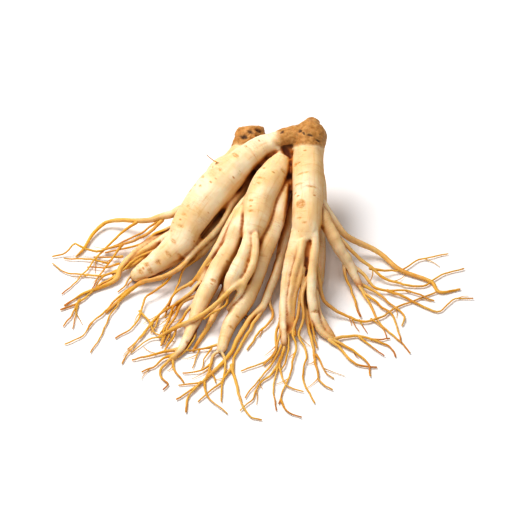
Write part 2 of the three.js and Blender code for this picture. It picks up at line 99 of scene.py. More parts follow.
BRANCHES: dict[str, list[Station]] = {
    "leftEdge": [(-9.5, 46, 34.5, 1.6), (-14.5, 39.5, 32, 1.9), (-18, 33.5, 29.6, 1.9),
        (-21.5, 27.5, 27, 1.9), (-24.5, 21.5, 23.6, 1.8), (-27.5, 17, 20.6, 1.7),
        (-30.5, 13, 17.4, 1.6), (-35, 8, 13, 1.4), (-38.5, 4.5, 9, 1.2), (-43, 0.5, 4.4, 0.9)],
    "overLobe": [(-8, 24.5, 35, 2.4), (-8.5, 17.5, 32, 2.8), (-9, 11, 29, 3.4), (-11, 5, 25.5, 4.2),
        (-14, 0, 21.5, 4.7), (-17, -5, 17.8, 4.8), (-19, -9, 14.8, 4.2), (-20.5, -12, 12.6, 2.8)],
    "midFront": [(-5, 26.5, 33, 2.4), (-4.5, 14, 32, 2.4), (-4, 6, 29.6, 2.3), (-5, 0, 26.2, 2.3),
        (-7, -4.5, 22.4, 2.2), (-10, -8.5, 18, 2.1), (-13, -13, 13.6, 1.9), (-16, -16.5, 9.6, 1.6),
        (-20, -20.5, 6, 1.2)],
    "betweenLegs": [(17, 73.5, 36, 3.2), (17.5, 62.5, 31, 3.2), (17, 49, 25, 3),
        (14.5, 33, 19.5, 3), (11.5, 19, 15.8, 3), (9, 7, 10.6, 2.9), (4, -4.5, 6, 2.8),
        (0.5, -16, 3.4, 2.4), (-7, -24, 2, 1.8), (-14, -39, 1.5, 1.5), (-19, -53, 1.3, 1.2),
        (-29, -68, 1.1, 1), (-34, -75, 0.9, 0.7)],
    "frontSplit": [(23, 20, 31, 5.8), (20.5, 11, 28, 4.8), (17.5, 3, 24, 4.1),
        (15.5, -4.5, 19.6, 3.5), (14, -13, 14.6, 3.1), (13, -22, 10, 3), (13, -30.5, 6.6, 2.8),
        (13, -39, 4, 2.5), (13, -46, 2.8, 2)],
    "frontRidge": [(24, 10, 33, 2.2), (23, 2, 29.6, 2.1), (20.5, -4, 25, 1.9),
        (18.5, -10.5, 20, 1.8), (17, -18, 14.6, 1.6), (16, -26.5, 9.6, 1.5), (15, -34.5, 5.6, 1.4),
        (15, -42, 3, 1.2)],
    "rightSplit": [(30, 21, 34, 4.4), (30.5, 11.5, 29.5, 3.8), (30, 0, 25.4, 3.3),
        (29.5, -10, 20, 3.1), (29.5, -18.5, 15, 3.1), (30.5, -25, 10.4, 3.1), (32, -30.5, 6, 2.6),
        (35, -36, 3.6, 2.2), (39.5, -40, 2.4, 1.7), (42.5, -41, 2, 1.4)],
    "splay": [(26.5, 45.5, 36, 4), (30.5, 40.5, 34.5, 4.4), (36, 33, 30.5, 4.4),
        (41.5, 24.5, 25, 4.1), (46, 18.5, 19, 3.8), (50.5, 14.5, 12.8, 3.3), (53.5, 10.5, 8, 2.9),
        (59.5, 1.5, 3.4, 2)],
    "rearBranch": [(27, 56, 38.5, 2.8), (33, 48, 34, 2.7), (39, 41, 28.5, 2.4), (44, 37, 22.5, 2.2),
        (50, 33, 15.5, 1.9), (59, 32, 9, 1.7), (70, 29, 4.5, 1.5), (83, 17, 2, 1.3),
        (102, 7, 1.2, 1.1), (106, -1, 1, 0.9), (119, 2, 0.8, 0.6)],
    "armShoot": [(-41.5, 48.5, 27, 2.8), (-47.5, 46.5, 24.5, 2.9), (-54, 45.5, 21, 2.5),
        (-61, 47, 17, 2.1), (-67, 48.5, 13, 1.8), (-75.5, 51.5, 9, 1.5), (-86, 55, 6, 1.3),
        (-95, 55, 3.6, 1.1), (-101.5, 48, 2.4, 1), (-107, 36, 1.4, 0.8), (-112, 29, 0.9, 0.6)],
    "armTan": [(-45, 33, 22, 2.4), (-51, 35, 18.5, 2.3), (-58, 36, 14, 2.2), (-68, 33, 10, 2.1),
        (-77, 26, 6.5, 1.9), (-85, 16, 4, 1.7), (-87, 9, 2.4, 1.5), (-98, 2, 1.4, 1),
        (-106, -2, 1.1, 0.8), (-118, -12, 0.8, 0.5)],
    "underArm": [(-6.5, 61.5, 31, 2.2), (-13, 52.5, 31, 2.1), (-18.5, 44.5, 29.6, 2.1),
        (-21.5, 38.5, 27, 2.1), (-25, 32.5, 23.5, 2.1), (-29.5, 28.5, 20, 2),
        (-34, 25.5, 17.4, 1.9), (-39, 21.5, 15, 1.8), (-44, 16, 12.6, 1.7), (-49, 10, 11, 1.6),
        (-56.5, 5, 9.4, 1.5), (-65.5, 3, 7, 1.4), (-72, 3.5, 5, 1.3), (-79, -2, 3, 1.1),
        (-85, -8.5, 1.6, 0.9), (-93, -18.5, 0.9, 0.6)],
    "edgeBroad": [(-11.5, 44.5, 33, 1.8), (-14.5, 36.5, 30.6, 2.2), (-18, 28, 27, 2.2),
        (-20.5, 22.5, 23.6, 2.2), (-24, 17, 19.6, 2.1), (-29, 11.5, 15.6, 2), (-32.5, 7, 11.8, 1.8),
        (-36, 2, 8.4, 1.5), (-39.5, -3.5, 5, 1.1)],
    "splitTwin": [(32.5, -12.5, 14, 1.3), (33, -19, 10.6, 1.7), (34, -25, 8, 1.9),
        (36.5, -30.5, 5, 1.8), (39.5, -35.5, 3, 1.6), (42.5, -40, 2, 1.3)],
    "ridgeInner": [(26, 8, 30, 2), (25, 1, 27.4, 2), (23.5, -5.5, 23.4, 1.9), (21.5, -12, 19, 1.7),
        (19.5, -18.5, 14.4, 1.5), (18.5, -24.5, 10, 1.4), (18.5, -32, 6.4, 1.3),
        (19.5, -40, 4, 1.1)],
    "lobeFill": [(-20.5, 11, 17.5, 2.8), (-20, 3, 11, 2.8), (-22.5, -6, 6.5, 2.6),
        (-26, -15.5, 4, 2.3), (-29.5, -24, 2.6, 2), (-33, -33, 1.9, 1.5), (-37.5, -42, 1.3, 1.1),
        (-41, -50, 0.9, 0.7)],
    "gapBack": [(27, 17, 26, 3.4), (26.5, 7, 19.6, 3.2), (26, -3, 14, 2.9), (26.5, -13, 9.6, 2.5),
        (27, -23, 5.6, 2.1), (28, -33, 3.2, 1.6)],
    "overFront": [(-10, -8, 18, 1.6), (-14.5, -11.5, 17.4, 1.7), (-19, -15, 15.6, 1.5),
        (-24.5, -20, 13.8, 1.4), (-30, -25, 12, 1.4), (-36, -29.5, 10, 1.4), (-42.5, -32, 8, 1.4),
        (-49, -33.5, 5.6, 1.3), (-55, -36, 3.4, 1.1), (-61, -39.5, 1.4, 0.8)],
    "underDark": [(-15.5, 50, 28, 2.2), (-20.5, 42.5, 24, 2.2), (-24.5, 34.5, 20, 2.1),
        (-29, 28, 16, 2), (-33.5, 24, 12.6, 1.9), (-38.5, 20, 10, 1.7), (-44.5, 17, 7, 1.4)],
    "tanTwin": [(-51.5, 33, 19, 1.9), (-59.5, 31.5, 14.6, 1.8), (-67, 28.5, 10.6, 1.7),
        (-74.5, 25.5, 7, 1.5), (-80.5, 20.5, 4, 1.2), (-86.5, 16, 2, 0.9)],
    "tanUnder": [(-54, 28.5, 13, 1.5), (-61, 28, 10, 1.5), (-68.5, 25.5, 7, 1.4),
        (-75.5, 20.5, 4, 1.2), (-81, 18, 2.4, 1), (-90, 14, 1.2, 0.7)],
}
# Thin roots: first radius, last radius, then across, back and up of each point.
ROOTLETS: dict[str, tuple[float, float, list[Place]]] = {
    "edgeTwin": (1.4, 0.9, [(-9, 36, 34), (-14, 29, 31), (-20, 20, 26), (-26, 12, 19),
        (-32, 7, 15)]),
    "ridgeTwin": (1.9, 0.6, [(25, -4, 24), (24, -10, 19), (23, -18, 14.4), (22, -25, 10),
        (20, -32, 7), (19, -40, 4.6), (20, -47, 2.4), (17, -64, 1.2), (14, -78, 1),
        (10, -93, 0.8)]),
    "longToe": (2.2, 0.6, [(27, -8, 15), (25, -18, 10.5), (27, -28, 6.4), (28, -37, 3.4),
        (30, -51, 1.6), (33, -65, 1.3), (35, -76, 1), (41, -82, 0.8)]),
    "crookedToe": (1.6, 0.6, [(26, -8, 20), (25, -16, 16), (25, -23, 12.4), (24, -29, 9),
        (22, -36, 6), (22, -41, 3.4), (25, -46, 2), (26, -53, 1.4), (24, -71, 1.1), (27, -82, 0.9),
        (31, -92, 0.8)]),
    "paleWhip": (1.8, 0.6, [(31, 10, 22), (33, -3, 16), (37, -16, 8), (43, -20, 4.6),
        (49, -22, 2.6), (60, -26, 1.5), (68, -23, 1.4), (78, -15, 1.2), (88, -9, 1),
        (104, -1, 0.8)]),
    "kneeFork": (2, 1, [(2, -12, 4), (-2, -21, 2.4), (-7, -33, 1.8), (-13, -46, 1.4),
        (-16, -56, 1.2), (-17, -67, 1.1)]),
    "darkFork": (1.3, 0.7, [(4, -10, 4), (6, -22, 2), (-2, -37, 1.2), (-8, -49, 0.9)]),
    "splayUpper": (1.9, 0.6, [(44, 26, 22), (51, 22, 17), (58, 18, 11), (67, 13, 5.4), (76, 8, 2.4),
        (89, 3, 1.4), (99, 5, 1.2), (107, 13, 1), (121, 19, 0.8)]),
    "splayKink": (1.1, 0.5, [(65, 14, 6), (74, 14, 3.6), (83, 17, 1.8), (98, 28, 1.2),
        (112, 31, 0.8)]),
    "splayMiddle": (1.8, 0.6, [(54, 13, 9.5), (60, 9, 6.6), (67, 2, 3.6), (77, -1, 2),
        (89, -1, 1.4), (103, -9, 0.8)]),
    "splayHook": (1.1, 0.5, [(75, -1, 2.2), (91, -9, 1.2), (101, -17, 1), (106, -17, 1),
        (116, -6, 0.9), (125.5, -6, 0.8)]),
    "splayLow": (1.5, 0.6, [(57, 4, 4.4), (65, 0, 2.8), (77, -11, 1.5), (84, -22, 1.1),
        (83, -29, 0.8)]),
    "splayRun": (1.4, 0.6, [(58, 3, 4), (62, -4, 2.6), (70, -12, 1.6), (77, -21, 1.3), (80, -30, 1),
        (83, -43, 0.8)]),
    "splayDrop": (1.4, 0.6, [(56, 6, 5), (60, -3, 3), (65, -13, 1.6), (70, -27, 1.2), (79, -39, 1),
        (88, -52, 0.8)]),
    "splayInner": (1.4, 0.8, [(49, 15, 11), (50, 7, 7), (53, 0, 3.6), (55, -9, 1.9),
        (59, -22, 1.1)]),
    "fanOuter": (1.2, 0.5, [(-76, 50, 9), (-84, 44, 5.5), (-94, 33, 2.6), (-102, 24, 1.6),
        (-109, 12, 1.1), (-119, -3, 0.8)]),
    "fanHump": (1.4, 0.6, [(-60, 45, 16), (-70, 39, 10.5), (-80, 36, 6.5), (-92, 33, 3.6),
        (-100, 31, 3.6), (-107, 31, 5.4), (-112, 33, 7.4), (-116, 31, 4), (-120, 30, 1.4),
        (-126, 29, 0.8)]),
    "fanInner": (1.1, 0.5, [(-84, 35, 5.4), (-90, 26, 3.4), (-95, 18, 2), (-99, 12, 1.4),
        (-102, 2, 0.8)]),
    "fanLower": (1.3, 0.7, [(-53, 26, 13), (-66, 26, 8.6), (-75, 23, 5.6), (-85, 13, 3.4),
        (-97, 6, 1.4), (-104, -3, 1.1), (-112, -11, 0.9), (-120, -16, 0.8)]),
    "fanReach": (1, 0.5, [(-86, 15, 3.6), (-97, 12, 1.8), (-109, 13, 1.3), (-118, 15, 1.1),
        (-126, 23, 0.8)]),
    "armTip": (1.3, 0.5, [(-74, 12, 4.2), (-81, 9, 2.4), (-83, 5, 1.4), (-87, -1, 0.8)]),
    "crossFork": (1.1, 0.5, [(-70, 3, 5.6), (-82, -3, 2.4), (-92, -16, 1.3), (-102, -29, 1.1),
        (-106, -38, 1), (-117, -44, 0.8)]),
    "crossTwig": (0.9, 0.5, [(-83, -6, 1.8), (-87, -13, 1.3), (-92, -26, 1), (-98, -43, 0.9),
        (-101, -51, 0.8)]),
    "underDeep": (1.9, 1, [(-15, 54, 31), (-22, 41, 23), (-28, 31, 16), (-37, 24, 10),
        (-42, 19, 6)]),
    "lowLeft": (1.6, 0.6, [(-34, 26, 17), (-40, 21, 13), (-46, 15, 11), (-52, 10, 9), (-58, 1, 6.4),
        (-69, -8, 3), (-73, -18, 1.8), (-74, -24, 1.5), (-79, -33, 1.1), (-87, -40, 0.8)]),
    "lowStub": (1.3, 0.6, [(-34, 25, 12.4), (-40, 17, 10), (-47, 9, 8.4), (-50, 0, 5.6),
        (-55, -12, 2.8), (-57, -21, 1.1)]),
    "lowLong": (1.5, 0.6, [(-35, -2, 9), (-43, -7, 6), (-54, -16, 3.4), (-64, -25, 1.9),
        (-70, -34, 1.4), (-76, -46, 1.1), (-83, -60, 0.8)]),
    "lowOchre": (2, 0.8, [(-33, -8, 9.5), (-40, -10, 7), (-47, -15, 5), (-53, -26, 3),
        (-56, -33, 2.2), (-60, -46, 1.1)]),
    "lowCross": (1, 0.5, [(-53, -33, 3), (-60, -38, 1.8), (-68, -41, 1.2), (-77, -51, 0.8)]),
    "toeA": (1.4, 0.6, [(-50, -50, 2.4), (-59, -52, 1.6), (-71, -56, 1.2), (-77, -57, 0.8)]),
    "toeB": (1.2, 0.6, [(-52, -54, 2), (-59, -58, 1.4), (-65, -64, 1.1), (-71, -68, 0.8)]),
    "toeC": (1.3, 0.6, [(-53, -56, 2), (-59, -64, 1.3), (-60, -70, 1.1), (-56, -78, 1),
        (-59, -82, 0.8)]),
    "toeD": (1.1, 0.6, [(-53, -57, 1.8), (-52, -65, 1.2), (-48, -72, 1), (-46, -76, 0.8)]),
    "heelA": (1.3, 0.6, [(-23, -45, 3.4), (-29, -47, 2.2), (-37, -49, 1.3), (-42, -50, 0.8)]),
    "heelB": (1.5, 0.7, [(-24, -50, 2.8), (-29, -55, 1.8), (-31, -63, 1.4), (-33, -72, 1.3),
        (-40, -81, 1.1), (-50, -89, 0.8)]),
    "heelC": (1.1, 0.8, [(-36, -76, 1.3), (-41, -84, 1.2), (-44, -91, 1), (-44, -100, 0.9)]),
    "heelD": (1, 0.5, [(-34, -74, 1.2), (-33, -84, 1.1), (-29, -92, 1), (-20, -101, 0.8)]),
    "heelE": (1.3, 0.6, [(-24, -51, 2.6), (-22, -61, 1.5), (-23, -75, 1.1), (-24, -92, 0.8)]),
    "heelF": (1.2, 0.6, [(-18, -62, 1.3), (-15, -80, 1.1), (-12, -94, 1), (-6, -104, 0.9),
        (0, -106, 0.8)]),
    "heelG": (1.1, 0.6, [(-18, -64, 1.3), (-25, -77, 1.1), (-30, -83, 1), (-37, -92, 0.8)]),
    "soleA": (1.2, 0.5, [(12, -26, 7), (9, -37, 2.6), (7, -51, 1.4), (1, -60, 1.2), (-9, -64, 1),
        (-13, -66, 0.8)]),
    "soleB": (1.3, 0.5, [(14, -38, 3.4), (10, -52, 1.6), (5, -63, 1.3), (-2, -72, 1.1),
        (-10, -87, 0.8)]),
    "soleC": (1.4, 0.5, [(14, -40, 3), (12, -54, 1.5), (6, -69, 1.2), (-2, -79, 1.1), (-6, -90, 1),
        (-13, -99, 0.8)]),
    "soleD": (1, 0.5, [(11, -56, 1.3), (8, -68, 1.1), (7, -80, 1), (8, -98, 0.8)]),
    "soleE": (1, 0.5, [(13, -50, 1.6), (11, -66, 1.1), (15, -78, 1), (24, -83, 0.8)]),
    "soleF": (0.9, 0.5, [(11, -90, 0.9), (15, -98, 0.8), (23, -104, 0.8)]),
    "ballA": (1.5, 0.6, [(41, -42, 2.2), (50, -38, 1.5), (65, -40, 1.2), (76, -47, 1),
        (79, -55, 0.8)]),
    "ballB": (1.5, 0.6, [(41, -42, 2.2), (48, -46, 1.6), (56, -51, 1.3), (62, -59, 1.1),
        (64, -71, 0.8)]),
    "ballC": (1.4, 0.7, [(40, -42, 2.2), (46, -49, 1.6), (53, -59, 1.2), (58, -62, 1),
        (68, -63, 0.8)]),
    "ballD": (1, 0.5, [(58, -39, 1.3), (64, -46, 1.1), (73, -54, 0.8)]),
    "splitOver": (1.1, 0.9, [(-20, -14, 14), (-21, -19, 12.6), (-22, -23, 12), (-26, -27, 11.4),
        (-31, -29, 10.6), (-35, -32, 10)]),
    "fanFlatA": (0.8, 0.5, [(-84, 26, 4), (-92, 27, 2), (-100, 29, 1.2)]),
    "fanFlatB": (0.8, 0.5, [(-93, 22, 2.6), (-104, 25, 1.6), (-112, 26, 1.2), (-119, 27, 0.8)]),
    "fanFlatC": (0.8, 0.5, [(-86, 20, 4), (-95, 19, 2), (-105, 19, 1)]),
    "fanDropA": (0.9, 0.5, [(-109, -8, 1.4), (-113, -18, 1.1), (-117, -27, 0.9), (-118, -30, 0.8)]),
    "fanDropB": (0.7, 0.4, [(-110, -12, 1.2), (-112, -22, 1), (-113, -31, 0.8)]),
    "fanCross": (1, 0.5, [(-86, 13, 4), (-93, 13, 2.4), (-98, 6, 1.4), (-101, -1, 1)]),
    "tipStub": (0.9, 0.5, [(-76, 11, 3.5), (-78, 7, 2.4), (-80, 4, 1.4)]),
    "lowTwinA": (1.5, 0.7, [(-35, -3, 10), (-45, -10, 6), (-51, -16, 3.6), (-56, -27, 2),
        (-60, -36, 1.2)]),
    "lowTwinB": (1.4, 0.7, [(-32, -8, 9.6), (-41, -17, 6.4), (-49, -28, 4), (-54, -36, 2.2),
        (-58, -45, 1.4)]),
    "lowTwinC": (1.4, 0.7, [(-42, 0, 8), (-49, -4, 6), (-55, -12, 4), (-61, -22, 2),
        (-66, -34, 1.2)]),
    "lowBent": (0.9, 0.6, [(-73, -18, 2), (-67, -27, 1.6), (-63, -36, 1.3), (-59, -37, 1.2)]),
    "lowFork": (0.8, 0.5, [(-65, -28, 1.8), (-71, -37, 1.3), (-80, -49, 0.8)]),
    "toeE": (0.9, 0.6, [(-52, -55, 2), (-47, -51, 1.6), (-42, -50, 1.2)]),
    "heelH": (0.8, 0.5, [(-35, -76, 1.3), (-43, -78, 1), (-49, -78, 0.8)]),
    "heelI": (0.8, 0.5, [(-31, -66, 1.5), (-28, -72, 1.2), (-27, -76, 0.9)]),
    "heelJ": (0.9, 0.5, [(-31, -62, 1.6), (-34, -65, 1.3), (-37, -67, 1.2), (-42, -68, 1),
        (-47, -68, 0.8)]),
    "heelK": (0.7, 0.4, [(-37, -49, 1.5), (-39, -56, 1), (-41, -64, 0.8)]),
    "heelL": (0.7, 0.4, [(-30, -49, 2), (-34, -57, 1.2), (-36, -65, 0.8)]),
    "toeSideA": (0.9, 0.5, [(32, -54, 1.8), (34, -58, 1.5), (37, -64, 1.2), (43, -72, 0.9)]),
    "ballE": (0.8, 0.5, [(65, -41, 1.3), (72, -41, 1.1), (76, -40, 0.8)]),
    "whipHairA": (0.6, 0.3, [(53, -23, 2.2), (55, -28, 1.4), (57, -33, 0.9)]),
    "whipHairB": (0.6, 0.3, [(58, -25, 1.6), (60, -29, 1.2), (62, -34, 0.8)]),
    "whipHairC": (0.7, 0.4, [(65, -24, 1.5), (70, -29, 1.1), (74, -38, 0.8)]),
    "armHair": (0.55, 0.3, [(-20, 60, 42), (-22, 61, 45), (-29, 64, 48), (-33, 66, 50)]),
    "lowTwinD": (1.3, 0.8, [(-39, -14, 8), (-45, -22, 5.4), (-50, -31, 3.8), (-53, -40, 2.2),
        (-57, -51, 1.4)]),
    "lowTwinE": (1.6, 0.8, [(-37, -3, 11), (-44, -10, 8), (-51, -15, 5.4), (-55, -21, 3.4),
        (-57, -31, 2.2), (-59, -43, 1.4)]),
    "toeBack": (1.5, 0.7, [(-34, -22, 5), (-38, -32, 3.4), (-41, -41, 2.2), (-45, -50, 1.6),
        (-49, -56, 1.2)]),
    "ballF": (1.2, 0.7, [(28, -21, 9), (29, -29, 6.6), (30, -35, 4.4), (31, -42, 2.4),
        (32, -48, 1.4)]),
    "soleG": (1.2, 0.6, [(11, -28, 6), (11, -40, 4), (9, -48, 2.4), (7, -56, 1.6), (0, -61, 1.2)]),
    "soleH": (1.2, 0.6, [(14, -31, 5.4), (15, -41, 3.6), (16, -49, 2.2), (14, -58, 1.5),
        (11, -67, 1.2)]),
    "tanThin": (1.2, 0.6, [(-48, 36, 24), (-56, 35, 19), (-64, 35, 14), (-71, 33, 10), (-78, 31, 7),
        (-85, 32, 4), (-94, 32, 2)]),
    "earFan": (1.1, 0.6, [(-59, 47, 17), (-66, 44, 12.6), (-73, 41, 8.4), (-82, 38, 4.8),
        (-90, 36, 2.4)]),
}

# The strands whose bark is whole, with no seam between them.
HEADS = ("frontHead", "headBridge")
# The slanting collar where pale flesh turns to the brown crown: how much height counts beside
# depth, where it lies, its left end, and how wide and ragged its front and left edges are.
COLLAR_SLANT = 0.71
COLLAR_PLACE = 109.6
COLLAR_LEFT = 9.0
COLLAR_WIDTH = 1.1
COLLAR_RAG = 0.7
LEFT_WIDTH = 5.0
LEFT_RAG = 3.0
RAG_PACE = 0.16
# The rear knob's bark: its middle and reach, and its edge's width. It is craggier than the front
# head's, and lies left of a line.
KNOB_TOP = ((-5.5, 106, 34), 21.5)
KNOB_EDGE = 1.8
KNOB_BARK_RIGHT = 5
# Bark: height of the crags, depth of the pits and their pace.
HEAD_BARK = (0.4, 1.2, 0.6)
KNOB_BARK = tuple(head + more for head, more in zip(HEAD_BARK, (0.8, 2.2, 0.2)))
# The rear knob's top is flat where the stem broke off: back plus up, where it ends at the right,
# and how far each of the two is pressed down.
KNOB_CUT = 141.0
KNOB_RIGHT = 6
KNOB_PRESS = 0.36
# The key light's direction for painted shade: skin facing away from it is painted tan.
PAINTED_SHADE_LIGHT = np.array((-0.36, -0.48, 0.80))

# Lenticels and scars on the thick roots: place, half length across the root, half width along it,
# and dent.
SCARS: list[Scar] = [
    (-16, 66, 50, 3.0, 1.2, 0.5), (-25, 57, 47, 1.6, 1.2, 0.4), (-36, 56, 42, 2.4, 1.0, 0.5),
    (-37, 49, 41, 1.8, 0.9, 0.4), (-40, 52, 38, 1.6, 0.9, 0.4), (-43, 50, 36, 2.2, 1.1, 0.5),
    (-44, 38, 35, 1.4, 0.8, 0.3), (-47, 34, 32, 2.4, 1.0, 0.5), (-49, 28, 28, 2.6, 1.2, 0.6),
    (-53, 21, 22, 2.6, 1.2, 0.6), (-56, 15, 17, 2.4, 1.2, 0.6), (-49, 15, 15, 3.2, 1.3, 0.7),
    (-67, 9, 9, 2.4, 1.8, 0.9), (-69, 11, 12, 2.4, 1.6, 0.9), (-62, 12, 13, 2.2, 1.4, 0.8),
    (-73, 9, 8, 2.0, 2.0, 0.7), (-30, 44, 38, 1.2, 0.8, 0.3), (-10, 73, 51, 1.6, 0.8, 0.3),
    (-1, 50, 47, 2.4, 1.0, 0.4), (-2, 46, 47, 1.8, 0.8, 0.4), (-7, 35, 43, 2.2, 0.9, 0.4),
    (-7, 28, 41, 2.6, 1.0, 0.4), (13, 57, 45, 2.6, 1.0, 0.6), (14, 54, 42, 2.0, 0.8, 0.5),
    (15, 73, 46.5, 3.4, 3.0, 2.4), (20, 61, 47, 2.0, 1.5, 0.6), (24, 52, 49, 4.2, 0.6, 0.4),
    (22, 45, 46.5, 3.4, 0.7, 0.5), (30, 42, 47, 4.0, 0.6, 0.4), (20, 40, 43, 1.6, 0.8, 0.4),
    (22, 22, 41, 1.8, 1.0, 0.4), (25, 19, 40, 1.5, 0.8, 0.3), (23, 15, 38, 2.0, 0.9, 0.4),
    (-20, 5, 20, 2.4, 0.9, 0.4), (-29, -6, 16, 2.4, 1.0, 0.5), (0, 9, 22, 2.6, 0.9, 0.4),
    (-14, -28, 8, 2.4, 1.0, 0.5), (-18, -36, 7, 2.0, 1.0, 0.5), (32, -27, 11, 2.2, 1.4, 1.2),
    (-44, -46, 4, 1.6, 1.2, 0.8), (-11, 92, 41, 3.2, 2.2, 1.6), (-7, 95, 42, 2.4, 1.6, 1.2),
    (-2, 97, 41, 2.6, 1.8, 1.4), (29, 79, 54.5, 2.6, 0.9, 0.6), (23, 83, 54, 2.0, 1.2, 0.6),
    (34, 77, 52, 2.2, 1.0, 0.6),
]
SCAR_LONG = 0.85
SCAR_WIDE = 0.8
SCAR_RAG = 0.8
SCAR_RAG_PACE = 0.9
# A healed bud: place, ring radius and the ring's height; then the ring's width and how strongly
# the ring and the eye inside it are coloured.
BUD_SCAR = ((23, 31, 44), 2.1, 0.35)
BUD_RING_WIDTH = 0.8
BUD_RING_SHARE = 0.9
BUD_EYE_SHARE = 0.45
# Crevices between neighbouring roots, sunk into the skin and painted dark as shade: across, back,
# up and reach.
CREVICES: dict[str, list[Station]] = {
    "armPit": [(11.5, 77.5, 46, 2), (13.8, 76, 44.6, 2.6), (15.2, 74, 44, 2.6), (16.8, 70, 42.6, 2),
        (17.4, 61, 38.5, 1.5), (17, 56, 36, 1.4), (16.2, 51.5, 35, 1.3), (15.2, 44, 32, 1.3),
        (13.4, 36, 29.6, 1.3), (12, 28, 26.5, 1.3), (10.4, 21.5, 22.8, 1.3), (9, 17, 18, 1.3)],
    "underTheArm": [(10, 76, 45, 1.6), (3, 67, 42.5, 2), (-3.6, 61, 40, 2), (-9.6, 57, 36, 2),
        (-15.6, 52, 33, 1.9), (-23.4, 45, 28.5, 1.8), (-31, 35.5, 24.5, 1.6), (-37, 29, 20, 1.4)],
    "armTip": [(-46, 19.5, 13.5, 1.4), (-52, 17, 10, 1.6), (-58, 13.5, 6.5, 1.8),
        (-64, 11, 4.5, 1.8), (-68, 9, 3.5, 1.4)],
    "rightToe": [(28.6, 11, 32, 1), (28, 8, 31.6, 1.3), (27, 4, 30.4, 1.5), (26.6, 0, 28, 1.5),
        (26, -4, 24.6, 1.5), (25.6, -7, 20, 1.5)],
}
CREVICE_STEP = 0.8

# A strand wavers off its route: pace along it and reach, slow and quick; how far from its parent
# the waver grows in; its lift; how its radius swells; how deep it may bed in the ground.
SLOW_WAVER = (0.07, 1.5)
QUICK_WAVER = (0.21, 0.55)
WAVER_EASE = 9
WAVER_LIFT = 0.45
SWELL = (0.33, 0.13)
BEDDING = 0.9
SEED_PACE = 0.37
# Fixes the waver, which would otherwise be another one in each run.
WAVER_SEED = 5
# How quickly a rootlet thins: over 1 it is soon close to its last radius.
ROOTLET_TAPER = 1.5
# The rings of an end's dome: how far past the end and how wide, as shares of the radius there.
DOME_NEAR = (0.5, 0.8)
DOME_FAR = (0.82, 0.42)
# Ring wrinkles, broad and fine: pace along the root, twist round it, shift, width and depth.
RING_KINDS = ((0.62, 0.35, 0, 0.30, 2.2), (1.25, 0.6, 7, 0.22, 1.1))
# What bends the rings off true: pace and reach, in millimetres.
RING_WARPS = ((0.11, 3.0), (0.4, 0.5))
# Keeps the patterns of two strands apart, in millimetres.
STRAND_SHIFT = 37.0
# A seam's fall-off outside the roots, and where it starts: between two legs, and at a branch.
SEAM_REACH = 1.3
LEG_SEAM_START = 6
BRANCH_SEAM_START = (5, 9)
# Hairs: millimetres of rootlet for each, where along it, how far they lean, bend and reach, their
# radius and taper, and the parts they are made of.
HAIR_SPACING = 20
HAIR_PLACE = (0.25, 0.93)
HAIR_LEAN = (0.3, 0.8)
HAIR_BEND = 0.5
HAIR_REACH = (5, 14)
HAIR_RADIUS = 0.42
HAIR_TAPER = 0.08
HAIR_PARTS = 3
# How shut in a point is: rays, how flat to the skin they may run, their start off the skin, and
# how far a neighbour counts.
RAYS = 26
GRAZING = 0.12
RAY_LIFT = 0.15
SHADE_REACH = 13.0
# What the finish reads: how far from its end a root is tip, a seam's half width, the hollow that
# counts as a full crease, and how many times girth and shape are evened out.
TIP_REACH = 22
SEAM_WIDTH = 0.95
FULL_CREASE = 0.5
GIRTH_ROUNDS = 9
HOLLOW_ROUNDS = 4


def smooth_route(stations: list[Station], step: float) -> np.ndarray:
    """Runs a smooth curve through the given stations.

    Args:
        stations: across, back, up and radius of each station, in millimetres.
        step: the spacing wanted along the curve, in millimetres.

    Returns:
        One row a point: across, back, up, radius.
    """
    points = np.array(stations, float)
    padded = np.vstack([2 * points[0] - points[1], points, 2 * points[-1] - points[-2]])
    rows = []
    for index in range(len(points) - 1):
        p0, p1, p2, p3 = padded[index:index + 4]
        pairs = ((p0, p1), (p1, p2), (p2, p3))
        t1, t2, t3 = np.cumsum([max(1e-3, np.linalg.norm((b - a)[:3])) ** 0.5 for a, b in pairs])
        count = max(2, int(round(np.linalg.norm((p2 - p1)[:3]) / step)))
        for t in np.linspace(t1, t2, count, endpoint=False):
            a1 = (t1 - t) / t1 * p0 + t / t1 * p1
            a2 = (t2 - t) / (t2 - t1) * p1 + (t - t1) / (t2 - t1) * p2
            a3 = (t3 - t) / (t3 - t2) * p2 + (t - t2) / (t3 - t2) * p3
            b1 = (t2 - t) / t2 * a1 + t / t2 * a2
            b2 = (t3 - t) / (t3 - t1) * a2 + (t - t1) / (t3 - t1) * a3
            rows.append((t2 - t) / (t2 - t1) * b1 + (t - t1) / (t2 - t1) * b2)
    rows.append(points[-1])
    return np.array(rows)


def distance_along(rows: np.ndarray) -> np.ndarray:
    """Returns the distance along a route at each of its rows."""
    return np.concatenate([[0], np.cumsum(np.linalg.norm(np.diff(rows[:, :3], axis=0), axis=1))])


